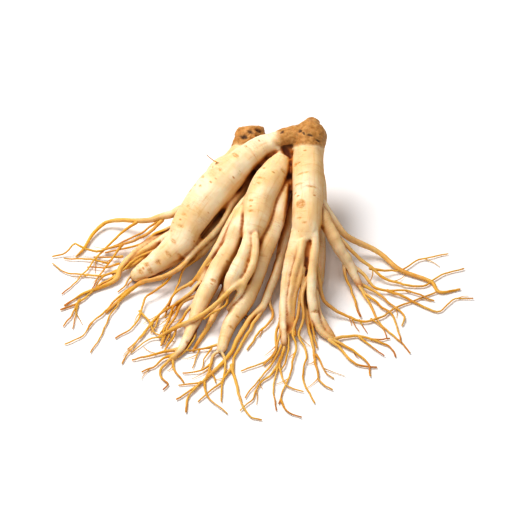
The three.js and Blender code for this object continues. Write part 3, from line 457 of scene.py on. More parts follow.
@dataclass
class Strand:
    """One root, from a leg down to a hair, with its route."""

    name: str
    growth: Growth
    stations: list[Station]
    wander: float = 0.0

    def route(self, step: float) -> np.ndarray:
        """Returns the route as rows of across, back, up, radius, with its natural waver.

        Args:
            step: spacing along the route in millimetres.
        """
        rows = smooth_route(self.stations, step)
        if self.wander > 0:
            letters = enumerate(self.name, 3)
            seed = sum(ord(letter) * number for number, letter in letters) * SEED_PACE
            for row, distance in zip(rows, distance_along(rows)):
                ease = min(1.0, distance / WAVER_EASE)
                slow = noise.noise_vector(Vector((distance * SLOW_WAVER[0], seed, 1.7)))
                quick = noise.noise_vector(Vector((distance * QUICK_WAVER[0], seed, 9.1)))
                shift = (slow * SLOW_WAVER[1] + quick * QUICK_WAVER[1]) * self.wander * ease
                row[0] += shift.x
                row[1] += shift.y
                row[2] += abs(shift.z) * WAVER_LIFT
                row[3] *= 1 + SWELL[1] * noise.noise(Vector((distance * SWELL[0], seed, 4.4)))
        rows[:, 2] = np.maximum(rows[:, 2], rows[:, 3] * BEDDING)
        return rows


def leg_strands(table: dict[str, list[Station]], growth: Growth, wander: float) -> list[Strand]:
    """Makes thick strands from a table of stations.

    Args:
        table: a name and its stations.
        growth: the kind of all of them.
        wander: how far they waver from their route, in millimetres.
    """
    return [Strand(name, growth, stations, wander) for name, stations in table.items()]


def rootlet_strands(wander: float) -> list[Strand]:
    """Makes the rootlets, each tapering from its first radius to its last.

    Args:
        wander: how far they waver from their route, in millimetres.
    """
    made = []
    for name, (first, last, points) in ROOTLETS.items():
        spans = len(points) - 1
        shares = [(1 - number / spans) ** ROOTLET_TAPER for number in range(len(points))]
        stations = [
            (*point, last + (first - last) * share) for point, share in zip(points, shares)
        ]
        made.append(Strand(name, Growth.ROOTLET, stations, wander))
    return made


def only(target: bpy.types.Object) -> None:
    """Selects one object and makes it active."""
    bpy.ops.object.select_all(action="DESELECT")
    target.select_set(True)
    bpy.context.view_layer.objects.active = target


def apply_modifier(target: bpy.types.Object, kind: str, **settings: object) -> None:
    """Adds one modifier and applies it.

    Args:
        target: the object to finish.
        kind: the modifier's type.
        settings: the modifier's own values.
    """
    only(target)
    bpy.ops.object.modifier_add(type=kind)
    modifier = target.modifiers[-1]
    for key, value in settings.items():
        setattr(modifier, key, value)
    bpy.ops.object.modifier_apply(modifier=modifier.name)


def dome(end: np.ndarray, inner: np.ndarray) -> np.ndarray:
    """Returns the two rows that close an end.

    Args:
        end: the end's row.
        inner: the row next to it.
    """
    out = (end - inner)[:3]
    out = out / max(1e-9, np.linalg.norm(out))
    rings = (DOME_NEAR, DOME_FAR)
    return np.vstack([
        np.append(end[:3] + out * end[3] * past, end[3] * width) for past, width in rings
    ])


def tube(name: str, rows: np.ndarray, sides: int) -> bpy.types.Object:
    """Draws one tapered root as a curve with its own radius at each point and makes it a mesh.

    Args:
        name: the object's name.
        rows: across, back, up, radius in millimetres.
        sides: sides of the section, even.

    Returns:
        The closed tube, domed at both ends.
    """
    rows = np.vstack([rows, dome(rows[-1], rows[-2])])
    rows = np.vstack([dome(rows[0], rows[1])[::-1], rows])
    bpy.ops.object.select_all(action="DESELECT")
    bpy.ops.curve.primitive_nurbs_path_add(radius=MM)
    drawn = bpy.context.object
    curve = drawn.data
    curve.splines.clear()
    spline = curve.splines.new("POLY")
    spline.points.add(len(rows) - 1)
    spline.points.foreach_set("co", np.column_stack([rows[:, :3] * MM, np.ones(len(rows))]).ravel())
    spline.points.foreach_set("radius", rows[:, 3] * MM)
    curve.dimensions = "3D"
    curve.bevel_depth = 1.0
    curve.bevel_resolution = max(0, sides // 2 - 2)
    curve.use_fill_caps = True
    only(drawn)
    bpy.ops.object.convert(target="MESH")
    made = bpy.context.object
    made.name = name
    bpy.ops.object.mode_set(mode="EDIT")
    bpy.ops.mesh.select_all(action="SELECT")
    bpy.ops.mesh.remove_doubles(threshold=0.01 * MM)
    bpy.ops.mesh.normals_make_consistent(inside=False)
    bpy.ops.object.mode_set(mode="OBJECT")
    return made


def join(parts: list[bpy.types.Object], name: str) -> bpy.types.Object:
    """Joins meshes into one object of the name given, and returns it."""
    only(parts[0])
    for part in parts:
        part.select_set(True)
    bpy.ops.object.join()
    made = bpy.context.object
    made.name = name
    return made


def points_of(target: bpy.types.Object) -> np.ndarray:
    """Returns the vertices' places in millimetres."""
    flat = np.empty(len(target.data.vertices) * 3)
    target.data.vertices.foreach_get("co", flat)
    return flat.reshape(-1, 3) / MM


def place_points(target: bpy.types.Object, points: np.ndarray) -> None:
    """Moves the vertices to the places given in millimetres."""
    target.data.vertices.foreach_set("co", (points * MM).ravel())
    target.data.update()


def normals_of(target: bpy.types.Object) -> np.ndarray:
    """Returns the vertices' normals."""
    flat = np.empty(len(target.data.vertices) * 3)
    target.data.vertex_normals.foreach_get("vector", flat)
    return flat.reshape(-1, 3)


def neighbour_mean(target: bpy.types.Object, values: np.ndarray, rounds: int = 1) -> np.ndarray:
    """Averages values over each vertex's neighbours.

    Args:
        target: the mesh.
        values: one row a vertex.
        rounds: how many times.
    """
    ends = np.empty(len(target.data.edges) * 2, int)
    target.data.edges.foreach_get("vertices", ends)
    ends = ends.reshape(-1, 2)
    count = np.maximum(np.bincount(ends.ravel(), minlength=len(values)).astype(float), 1)
    flat = np.asarray(values, float).reshape(len(values), -1)
    for _ in range(rounds):
        total = np.zeros_like(flat)
        for column in range(flat.shape[1]):
            for near, far in ((0, 1), (1, 0)):
                weights = flat[ends[:, far], column]
                total[:, column] += np.bincount(ends[:, near], weights, minlength=len(flat))
        flat = total / count[:, None]
    return flat.reshape(np.shape(values))


@dataclass
class Nearest:
    """Each point's nearest sample and its depth (distance less radius), then the same for the
    nearest sample of another strand."""

    best: np.ndarray
    depth: np.ndarray
    second: np.ndarray
    gap: np.ndarray


@dataclass
class Anatomy:
    """All strands' centre lines, sampled, to find which root a point of the skin belongs to."""

    strands: list[Strand]
    step: float = 1.5
    centre: np.ndarray = field(init=False)
    radius: np.ndarray = field(init=False)
    along: np.ndarray = field(init=False)
    left: np.ndarray = field(init=False)
    owner: np.ndarray = field(init=False)
    tangent: np.ndarray = field(init=False)
    side: np.ndarray = field(init=False)

    def __post_init__(self) -> None:
        """Samples every strand and carries a side direction along it."""
        columns: dict[str, list[np.ndarray]] = {}
        for number, strand in enumerate(self.strands):
            rows = strand.route(self.step)
            along = distance_along(rows)
            tangent = np.gradient(rows[:, :3], axis=0)
            tangent /= np.linalg.norm(tangent, axis=1)[:, None] + 1e-9
            side = np.cross(tangent[0], (0.3, 0.2, 1.0))
            sides = []
            for direction in tangent:
                side = side - direction * side.dot(direction)
                side /= np.linalg.norm(side) + 1e-9
                sides.append(side)
            sampled = {
                "centre": rows[:, :3], "radius": rows[:, 3], "along": along,
                "left": along[-1] - along, "owner": np.full(len(rows), number),
                "tangent": tangent, "side": np.array(sides),
            }
            for key, part in sampled.items():
                columns.setdefault(key, []).append(part)
        for key, parts in columns.items():
            setattr(self, key, np.concatenate(parts))

    def both_legs(self, near: Nearest) -> np.ndarray:
        """Tells where the two nearest strands are both legs."""
        legs = np.array([strand.growth is Growth.LEG for strand in self.strands])[self.owner]
        return legs[near.best] & legs[near.second]

    def beside_head(self, near: Nearest) -> np.ndarray:
        """Tells where either of the two nearest strands is one of the front heads."""
        heads = np.array([strand.name in HEADS for strand in self.strands])[self.owner]
        return heads[near.best] | heads[near.second]

    def since_fork(self, near: Nearest) -> np.ndarray:
        """Returns the shorter of the two nearest strands' distances from their own start."""
        return np.minimum(self.along[near.best], self.along[near.second])

    def nearest(self, points: np.ndarray) -> Nearest:
        """Finds each point's own strand and the next one.

        Args:
            points: places in millimetres.
        """
        found = []
        centre = self.centre.astype(np.float32)
        square = (centre ** 2).sum(axis=1)
        for start in range(0, len(points), 4000):
            chunk = points[start:start + 4000].astype(np.float32)
            away = (chunk ** 2).sum(axis=1)[:, None] + square[None] - 2 * chunk @ centre.T
            away = np.sqrt(np.maximum(away, 0)) - self.radius[None]
            rows = np.arange(len(chunk))
            first = away.argmin(axis=1)
            depth = away[rows, first]
            away[self.owner[None, :] == self.owner[first][:, None]] = 1e3
            other = away.argmin(axis=1)
            found.append((first, depth, other, away[rows, other]))
        return Nearest(*(np.concatenate(column) for column in zip(*found)))

    def straightened(self, points: np.ndarray, sample: np.ndarray) -> np.ndarray:
        """Returns along, and the two offsets across the strand, in millimetres.

        Args:
            points: places in millimetres.
            sample: each one's nearest sample.
        """
        offset = points - self.centre[sample]
        tangent = self.tangent[sample]
        side = self.side[sample]
        other = np.cross(tangent, side)
        along = self.along[sample] + (offset * tangent).sum(axis=1)
        along = along + self.owner[sample] * STRAND_SHIFT
        return np.column_stack([along, (offset * side).sum(axis=1), (offset * other).sum(axis=1)])


def soft_step(past: np.ndarray, width: float) -> np.ndarray:
    """Turns a distance past an edge into a share from 0 to 1, over the edge's width."""
    return np.clip(past / width + 0.5, 0, 1)


def crown_share(points: np.ndarray) -> np.ndarray:
    """Returns how far each point belongs to the brown crown, from 0 to 1."""
    rag = np.array([noise.fractal(Vector(p * RAG_PACE), 1.0, 2.0, 3) for p in points])
    above = points[:, 1] + COLLAR_SLANT * points[:, 2] - COLLAR_PLACE + rag * COLLAR_RAG
    right = points[:, 0] - COLLAR_LEFT + rag * LEFT_RAG
    share = soft_step(above, COLLAR_WIDTH) * soft_step(right, LEFT_WIDTH)
    centre, reach = KNOB_TOP
    away = np.linalg.norm((points - np.array(centre)), axis=1)
    return np.maximum(share, soft_step(reach - away + rag * KNOB_EDGE, KNOB_EDGE))


def scar_share(points: np.ndarray, tangent: np.ndarray) -> tuple[np.ndarray, np.ndarray]:
    """Finds how far each point lies in a lenticel or scar, and how deep it sinks there.

    Args:
        points: places in millimetres.
        tangent: the root's own direction at each of them.

    Returns:
        The share from 0 to 1, and the dent in millimetres.
    """
    share = np.zeros(len(points))
    dent = np.zeros(len(points))
    for *place, half_long, half_wide, depth in SCARS:
        offset = points - np.array(place)
        near = np.nonzero((offset ** 2).sum(axis=1) < (half_long * 2.5 + 2) ** 2)[0]
        offset = offset[near]
        down = (offset * tangent[near]).sum(axis=1)
        across = np.linalg.norm(offset - tangent[near] * down[:, None], axis=1)
        rag = np.array([noise.noise(Vector(points[index] * SCAR_RAG_PACE)) for index in near])
        shape = (down / (half_wide * SCAR_WIDE)) ** 2 + (across / (half_long * SCAR_LONG)) ** 2
        inside = np.exp(-shape * (1 + rag * SCAR_RAG))
        share[near] = np.maximum(share[near], inside)
        dent[near] = np.maximum(dent[near], inside * depth)
    place, reach, height = BUD_SCAR
    away = np.linalg.norm(points - np.array(place), axis=1)
    ring = np.exp(-((away - reach) / BUD_RING_WIDTH) ** 2)
    share = np.maximum(share, ring * BUD_RING_SHARE + BUD_EYE_SHARE * (away < reach))
    dent -= ring * height
    return np.clip(share, 0, 1), dent


def seam_share(anatomy: Anatomy, near: Nearest, width: float) -> np.ndarray:
    """Finds the line where two roots lie side by side, fading where one grows out of the other.

    Args:
        anatomy: the roots.
        near: each point's two nearest roots.
        width: half the line's width in millimetres.
    """
    line = np.exp(-((near.gap - near.depth) / width) ** 2)
    line = line * np.exp(-(np.maximum(near.gap, 0) / SEAM_REACH) ** 2) * ~anatomy.beside_head(near)
    young = anatomy.since_fork(near)
    start, fade = BRANCH_SEAM_START
    between_legs = np.clip(young / LEG_SEAM_START, 0.3, 1)
    at_branch = np.clip((young - start) / fade, 0, 1)
    return line * np.where(anatomy.both_legs(near), between_legs, at_branch)


def crevice_share(points: np.ndarray) -> np.ndarray:
    """Finds how near each point lies to the bottom of a crevice, 1 at the bottom; the finish paints
    it dark as shade.
    """
    share = np.zeros(len(points))
    for stations in CREVICES.values():
        for *middle, reach in smooth_route(stations, CREVICE_STEP):
            away = np.abs(points - np.array(middle))
            close = np.nonzero(away.max(axis=1) < 2.5 * reach)[0]
            far = np.linalg.norm(away[close], axis=1)
            share[close] = np.maximum(share[close], np.exp(-(far / reach) ** 2))
    return share


@dataclass
class Flesh:
    """The thick body: legs and branches grown together, then shaped by lumps, rings and grooves."""

    strands: list[Strand]
    voxel: float = 0.92
    step: float = 2.0
    sides: int = 20
    fillet_reach: float = 1.8
    fillet_rounds: int = 16
    fillet_start: float = 11
    fillet_least: float = 0.04
    leg_fillet: float = 0.35
    ring_height: float = 0.16
    lump_share: float = 0.05
    lump_pace: float = 0.42
    groove_share: float = 0.055
    collar_step: float = 1.6
    seam_width: float = 0.9
    seam_depth: float = 0.8
    crevice_depth: float = 1.6

    def build(self) -> bpy.types.Object:
        """Returns the joined and sculpted body."""
        tubes = []
        for strand in self.strands:
            rows = strand.route(self.step)
            rows[:, 3] += 0.22 / np.maximum(rows[:, 3], 0.8)
            tubes.append(tube(strand.name, rows, self.sides))
        body = join(tubes, "root_flesh")
        apply_modifier(body, "REMESH", mode="VOXEL", voxel_size=self.voxel * MM, adaptivity=0.0)
        LOG.info("flesh: %d faces", len(body.data.polygons))
        anatomy = Anatomy(self.strands)
        self.fillet(body, anatomy)
        self.sculpt(body, anatomy)
        return body

    def fillet(self, body: bpy.types.Object, anatomy: Anatomy) -> None:
        """Softens where one strand leaves another."""
        apply_modifier(body, "SMOOTH", factor=0.5, iterations=2)
        near = anatomy.nearest(points_of(body))
        weight = np.exp(-(np.maximum(near.gap, 0) / self.fillet_reach) ** 2)
        young = anatomy.since_fork(near)
        weight = weight * np.clip(1.2 - young / self.fillet_start, self.fillet_least, 1)
        weight *= np.where(anatomy.both_legs(near), self.leg_fillet, 1.0)
        weight = neighbour_mean(body, weight, 2)
        group = body.vertex_groups.new(name="join")
        for index in np.nonzero(weight > 0.02)[0]:
            group.add([int(index)], float(weight[index]), "REPLACE")
        rounds = self.fillet_rounds
        apply_modifier(body, "SMOOTH", factor=0.5, iterations=rounds, vertex_group=group.name)

    def lift(self, place: Vector, flow: np.ndarray, size: float, rough: float) -> float:
        """Returns how far one point of the skin rises, in millimetres.

        Args:
            place: the point.
            flow: its straightened coordinates.
            size: its root's radius.
            rough: its share of brown crown, from 0 to 1.
        """
        along, across, over = flow
        turn = Vector((across, over, 0)) / max(size, 0.5)
        lump = noise.noise(place * (self.lump_pace / size ** 0.5)) * self.lump_share * size
        warp = sum(noise.noise(place * pace) * reach for pace, reach in RING_WARPS)
        rings = 0.0
        for pace, twist, shift, width, depth in RING_KINDS:
            wave = Vector((along * pace + warp, turn.x * twist + shift, turn.y * twist))
            rings -= max(0.0, width - abs(noise.noise(wave))) * depth
        patchy = max(0.15, 0.45 + 0.55 * noise.noise(place * 0.055 + Vector((3.1, 0, 0))))
        groove = noise.noise(Vector((along * 0.035, turn.x * 1.5, turn.y * 1.5 + 5)))
        rise = lump + rings * self.ring_height * min(1.6, size / 5) * patchy * (1 - rough)
        rise += groove * self.groove_share * size * (1 - rough)
        if rough > 0:
            rise += rough * self.bark_lift(place)
            rise -= rough * (1 - rough) * self.collar_step
        return rise

    def bark_lift(self, place: Vector) -> float:
        """Returns how far crags, pits and lines lift a point of the brown crown, in millimetres."""
        height, depth, pace = KNOB_BARK if place.x < KNOB_BARK_RIGHT else HEAD_BARK
        crag = noise.turbulence(place * 0.34, 4, True) - 0.55
        pit = max(0.0, noise.noise(place * pace + Vector((0, 4, 0))) - 0.34)
        lines = noise.noise(Vector((place.x * 0.12, place.y * 0.9 + place.z * 0.7, 3.3)))
        return crag * height - pit * depth - abs(lines) * 0.5

    def sculpt(self, body: bpy.types.Object, anatomy: Anatomy) -> None:
        """Raises lumps, ring wrinkles, grooves and bark, and sinks scars, seams and crevices."""
        points = points_of(body)
        normals = normals_of(body)
        near = anatomy.nearest(points)
        flow = anatomy.straightened(points, near.best)
        girth = anatomy.radius[near.best]
        crown = crown_share(points)
        rise = np.array([
            self.lift(Vector(point), *skin) for point, *skin in zip(points, flow, girth, crown)
        ])
        dent = scar_share(points, anatomy.tangent[near.best])[1]
        seam = neighbour_mean(body, seam_share(anatomy, near, self.seam_width))
        rise = np.clip(rise - seam * self.seam_depth, -0.3 * girth, 0.2 * girth) - dent
        rise -= crevice_share(points) * self.crevice_depth
        points = points + normals * rise[:, None]
        past = np.maximum(points[:, 1] + points[:, 2] - KNOB_CUT, 0)
        over = np.where(points[:, 0] < KNOB_RIGHT, past, 0) * KNOB_PRESS
        points[:, 1:] -= over[:, None]
        place_points(body, points)


@dataclass
class Rootlets:
    """The thin roots and hairs, each a tapered tube grown out of its parent."""

    strands: list[Strand]
    step: float = 2.4
    sides: int = 6
    slim: float = 0.78
    flare: float = 0.3
    flare_reach: float = 2.5

    def build(self) -> list[bpy.types.Object]:
        """Returns one closed tube a strand, flared where it leaves its parent."""
        made = []
        for strand in self.strands:
            rows = strand.route(self.step)
            flare = self.flare * np.exp(-distance_along(rows) / self.flare_reach)
            rows[:, 3] *= self.slim * (1 + flare)
            made.append(tube(strand.name, rows, self.sides))
        return made


def fine_hairs(parents: list[Strand], seed: int, share: float) -> list[Strand]:
    """Grows short hairs sideways from rootlets.

    Args:
        parents: the rootlets they leave.
        seed: sets which rootlets have them and where.
        share: hairs for each 20 mm of rootlet.

    Returns:
        The hairs, each with its own route.
    """
    chance = random.Random(seed)
    made = []
    for parent in parents:
        rows = parent.route(1.5)
        length = distance_along(rows)[-1]
        for _ in range(int(length / HAIR_SPACING * share + chance.random())):
            spot = int(chance.uniform(*HAIR_PLACE) * (len(rows) - 2))
            start = rows[spot]
            heading = rows[spot + 1, :2] - start[:2]
            lean = chance.choice((-1, 1)) * chance.uniform(*HAIR_LEAN)
            angle = math.atan2(heading[1], heading[0]) + lean
            bend = chance.uniform(-HAIR_BEND, HAIR_BEND)
            reach = chance.uniform(*HAIR_REACH)
            stations = []
            for part in range(HAIR_PARTS + 1):
                turn = angle + bend * part / HAIR_PARTS
                away = reach * part / HAIR_PARTS
                rise = max(0.6, start[2] * (1 - part / (HAIR_PARTS + 0.4)))
                place = (start[0] + math.cos(turn) * away, start[1] + math.sin(turn) * away, rise)
                stations.append((*place, HAIR_RADIUS - HAIR_TAPER * part))
            made.append(Strand(f"{parent.name}Hair{spot}", Growth.HAIR, stations, 0.5))
    return made


def weld(body: bpy.types.Object, extra: bpy.types.Object) -> None:
    """Joins one closed mesh into another and removes it.

    Args:
        body: the mesh that grows.
        extra: the mesh that is taken in.
    """
    apply_modifier(body, "BOOLEAN", operation="UNION", solver="MANIFOLD", object=extra)
    bpy.data.objects.remove(extra, do_unlink=True)


def weld_all(parts: list[bpy.types.Object]) -> bpy.types.Object:
    """Joins closed meshes into one, two by two, and returns it.

    Args:
        parts: the meshes, neighbours next to each other.
    """
    while len(parts) > 1:
        for first, second in zip(parts[::2], parts[1::2]):
            weld(first, second)
        parts = parts[::2]
    return parts[0]


def store(target: bpy.types.Object, name: str, values: np.ndarray) -> None:
    """Keeps a number or a vector for each vertex under a name that the finish reads."""
    kind, key = ("FLOAT_VECTOR", "vector") if values.ndim == 2 else ("FLOAT", "value")
    layer = target.data.attributes.new(name, kind, "POINT")
    layer.data.foreach_set(key, values.astype(np.float32).ravel())


def ray_fan() -> np.ndarray:
    """Returns directions spread evenly over a ball, one a row."""
    turns = np.arange(RAYS) + 0.5
    height = 1 - 2 * turns / RAYS
    swing = turns * math.pi * (1 + 5 ** 0.5)
    level = np.sqrt(1 - height ** 2)
    return np.column_stack([np.cos(swing) * level, np.sin(swing) * level, height])


def enclosed(points: np.ndarray, normals: np.ndarray, faces: list, reach: float) -> np.ndarray:
    """Finds how shut in each point is by neighbouring roots and the ground, from 0 to 1.

    Args:
        points: the skin's points in millimetres.
        normals: their normals.
        faces: the mesh's faces.
        reach: how far away a neighbour still counts, in millimetres.
    """
    tree = BVHTree.FromPolygons([tuple(p) for p in points], faces)
    rays = ray_fan()
    facing = normals @ rays.T
    vectors = [Vector(ray) for ray in rays]
    shut = np.zeros(len(points))
    for index, point in enumerate(points):
        start = Vector(point + normals[index] * RAY_LIFT)
        total = 0.0
        hit = 0.0
        for number in np.nonzero(facing[index] > GRAZING)[0]:
            weight = facing[index, number]
            total += weight
            distance = tree.ray_cast(start, vectors[number], reach)[3]
            if distance is None:
                drop = vectors[number].z
                distance = -start.z / drop + reach * 0.25 if drop < -0.05 else reach
            hit += weight * max(0.0, 1 - distance / reach)
        shut[index] = hit / max(total, 1e-6)
    return shut


def mark_skin(target: bpy.types.Object, anatomy: Anatomy) -> None:
    """Stores the straightened coordinates and the shares that the finish reads."""
    points = points_of(target)
    normals = normals_of(target)
    near = anatomy.nearest(points)
    seam = neighbour_mean(target, seam_share(anatomy, near, SEAM_WIDTH), 2)
    faces = [tuple(face.vertices) for face in target.data.polygons]
    shut = enclosed(points, normals, faces, SHADE_REACH)
    LOG.info("shade: mean %.3f, top tenth %.3f", shut.mean(), np.percentile(shut, 90))
    hollow = ((neighbour_mean(target, points, HOLLOW_ROUNDS) - points) * normals).sum(axis=1)
    marks = {
        "flow": anatomy.straightened(points, near.best),
        "girth": neighbour_mean(target, anatomy.radius[near.best], GIRTH_ROUNDS),
        "tip": np.clip(1 - anatomy.left[near.best] / TIP_REACH, 0, 1),
        "crown": neighbour_mean(target, crown_share(points)),
        "scar": scar_share(points, anatomy.tangent[near.best])[0],
        # Painted shade: seams and crevices between roots, painted dark red and near black in the
        # finish.
        "seam": np.maximum(seam, crevice_share(points)),
        # Painted shade: the side facing away from the key light, painted tan in the finish.
        "lee": neighbour_mean(target, 0.5 - 0.5 * normals @ PAINTED_SHADE_LIGHT),
        # Painted shade: how shut in each point is by roots and ground, painted tan, dark red and
        # near black in the finish.
        "shade": neighbour_mean(target, shut),
        # Painted shade: hollows of the skin, painted dark red on the flesh and near black on the
        # bark.
        "crease": np.clip(neighbour_mean(target, hollow) / FULL_CREASE, -1, 1),
    }
    for name, values in marks.items():
        store(target, name, values)


Socket = bpy.types.NodeSocket
Coat = tuple[Socket, float, float, float, Colour]


class NodeSheet:
    """Short calls to lay out a material's nodes."""

    def __init__(self, name: str) -> None:
        """Starts an empty material with a Principled shader and an output."""
        self.material = bpy.data.materials.new(name)
        self.material.use_nodes = True
        self.tree = self.material.node_tree
        self.tree.nodes.clear()
        self.shader = self.add("BsdfPrincipled")
        self.add("OutputMaterial", {"Surface": self.shader.outputs["BSDF"]})

    def add(self, kind: str, inputs: dict | None = None, **settings: object) -> bpy.types.Node:
        """Adds one node.

        Args:
            kind: the node's type.
            inputs: a link or a plain value for each input named or numbered.
            settings: the node's own values.
        """
        node = self.tree.nodes.new(f"ShaderNode{kind}")
        for key, value in settings.items():
            setattr(node, key, value)
        self.feed(node, inputs or {})
        return node

    def feed(self, node: bpy.types.Node, inputs: dict) -> None:
        """Links or sets a node's inputs."""
        for key, value in inputs.items():
            if isinstance(value, Socket):
                self.tree.links.new(value, node.inputs[key])
            else:
                node.inputs[key].default_value = value

    def attribute(self, name: str, output: str = "Fac") -> Socket:
        """Reads one of the skin's stored values."""
        return self.add("Attribute", attribute_name=name).outputs[output]

    def math(self, operation: str, first: object, second: object = 0.0) -> Socket:
        """Does one sum."""
        return self.add("Math", {0: first, 1: second}, operation=operation).outputs[0]

    def times(self, first: object, second: object) -> Socket:
        """Multiplies two values."""
        return self.math("MULTIPLY", first, second)

    def remap(
        self, value: object, low: float, high: float, to_low: float = 0.0, to_high: float = 1.0
    ) -> Socket:
        """Turns one range into another with soft ends."""
        inputs = {
            "Value": value, "From Min": low, "From Max": high, "To Min": to_low, "To Max": to_high,
        }
        return self.add("MapRange", inputs, interpolation_type="SMOOTHSTEP").outputs["Result"]

    def mix(self, share: object, first: object, second: object) -> Socket:
        """Mixes two colours."""
        return self.add("Mix", {"Factor": share, 6: first, 7: second}, data_type="RGBA").outputs[2]

    def coats(self, below: Socket, rows: list[Coat]) -> Socket:
        """Lays colours over another, each where its value passes from low to high.

        Args:
            below: the colour underneath.
            rows: value, low, high, the most it covers, and the colour, from the bottom up.
        """
        for value, low, high, most, colour in rows:
            below = self.mix(self.remap(value, low, high, 0.0, most), below, colour)
        return below

    def stretch(self, vector: object, scale: Place) -> Socket:
        """Scales a coordinate."""
        return self.add("Mapping", {"Vector": vector, "Scale": scale}).outputs["Vector"]

    def noise(
        self, vector: Socket, scale: float, detail: float, rough: float = 0.5, warp: float = 0.0
    ) -> Socket:
        """Gives a cloudy pattern."""
        inputs = {
            "Vector": vector, "Scale": scale, "Detail": detail, "Roughness": rough,
            "Distortion": warp,
        }
        return self.add("TexNoise", inputs).outputs["Fac"]

    def bump(
        self, height: object, strength: float, distance: float, below: Socket | None = None
    ) -> Socket:
        """Turns a height into a tilted normal, over another one if given."""
        inputs = {"Strength": strength, "Distance": distance, "Height": height}
        if below is not None:
            inputs["Normal"] = below
        return self.add("Bump", inputs).outputs["Normal"]


class SkinSheet(NodeSheet):
    """A material's nodes, with the skin's stored values and shared patterns at hand."""

    def __init__(self, name: str) -> None:
        """Reads the stored values and lays out the patterns that colour and relief share."""
        super().__init__(name)
        self.place = self.add("TexCoord").outputs["Object"]
        self.flow = self.attribute("flow", "Vector")
        for key in ("girth", "crown", "crease", "tip", "scar", "lee", "shade", "seam"):
            setattr(self, key, self.attribute(key))
        self.shade = self.times(self.shade, self.remap(self.girth, 1.0, 3.4, 0.5, 1.0))
        self.seam = self.times(self.seam, self.remap(self.girth, 0.9, 2.4, 0.2, 1.0))
        ring = self.math("ABSOLUTE", self.math("SUBTRACT", self.along(1.5, 0.12, 2, 0.6), 0.5))
        patch = self.remap(self.noise(self.place, 90, 2), 0.48, 0.66)
        self.rings = self.times(self.remap(ring, 0.0, 0.028, 1.0, 0.0), patch)
        self.grain = self.noise(self.place, 420, 5, 0.65)

    def along(self, length: float, around: float, detail: float, rough: float = 0.5) -> Socket:
        """Gives a cloudy pattern that follows the root.

        Args:
            length: its pace along the root.
            around: its pace round the root.
            detail: its layers of detail.
            rough: how strong the finer layers are.
        """
        return self.noise(self.stretch(self.flow, (length, around, around)), 1.0, detail, rough)


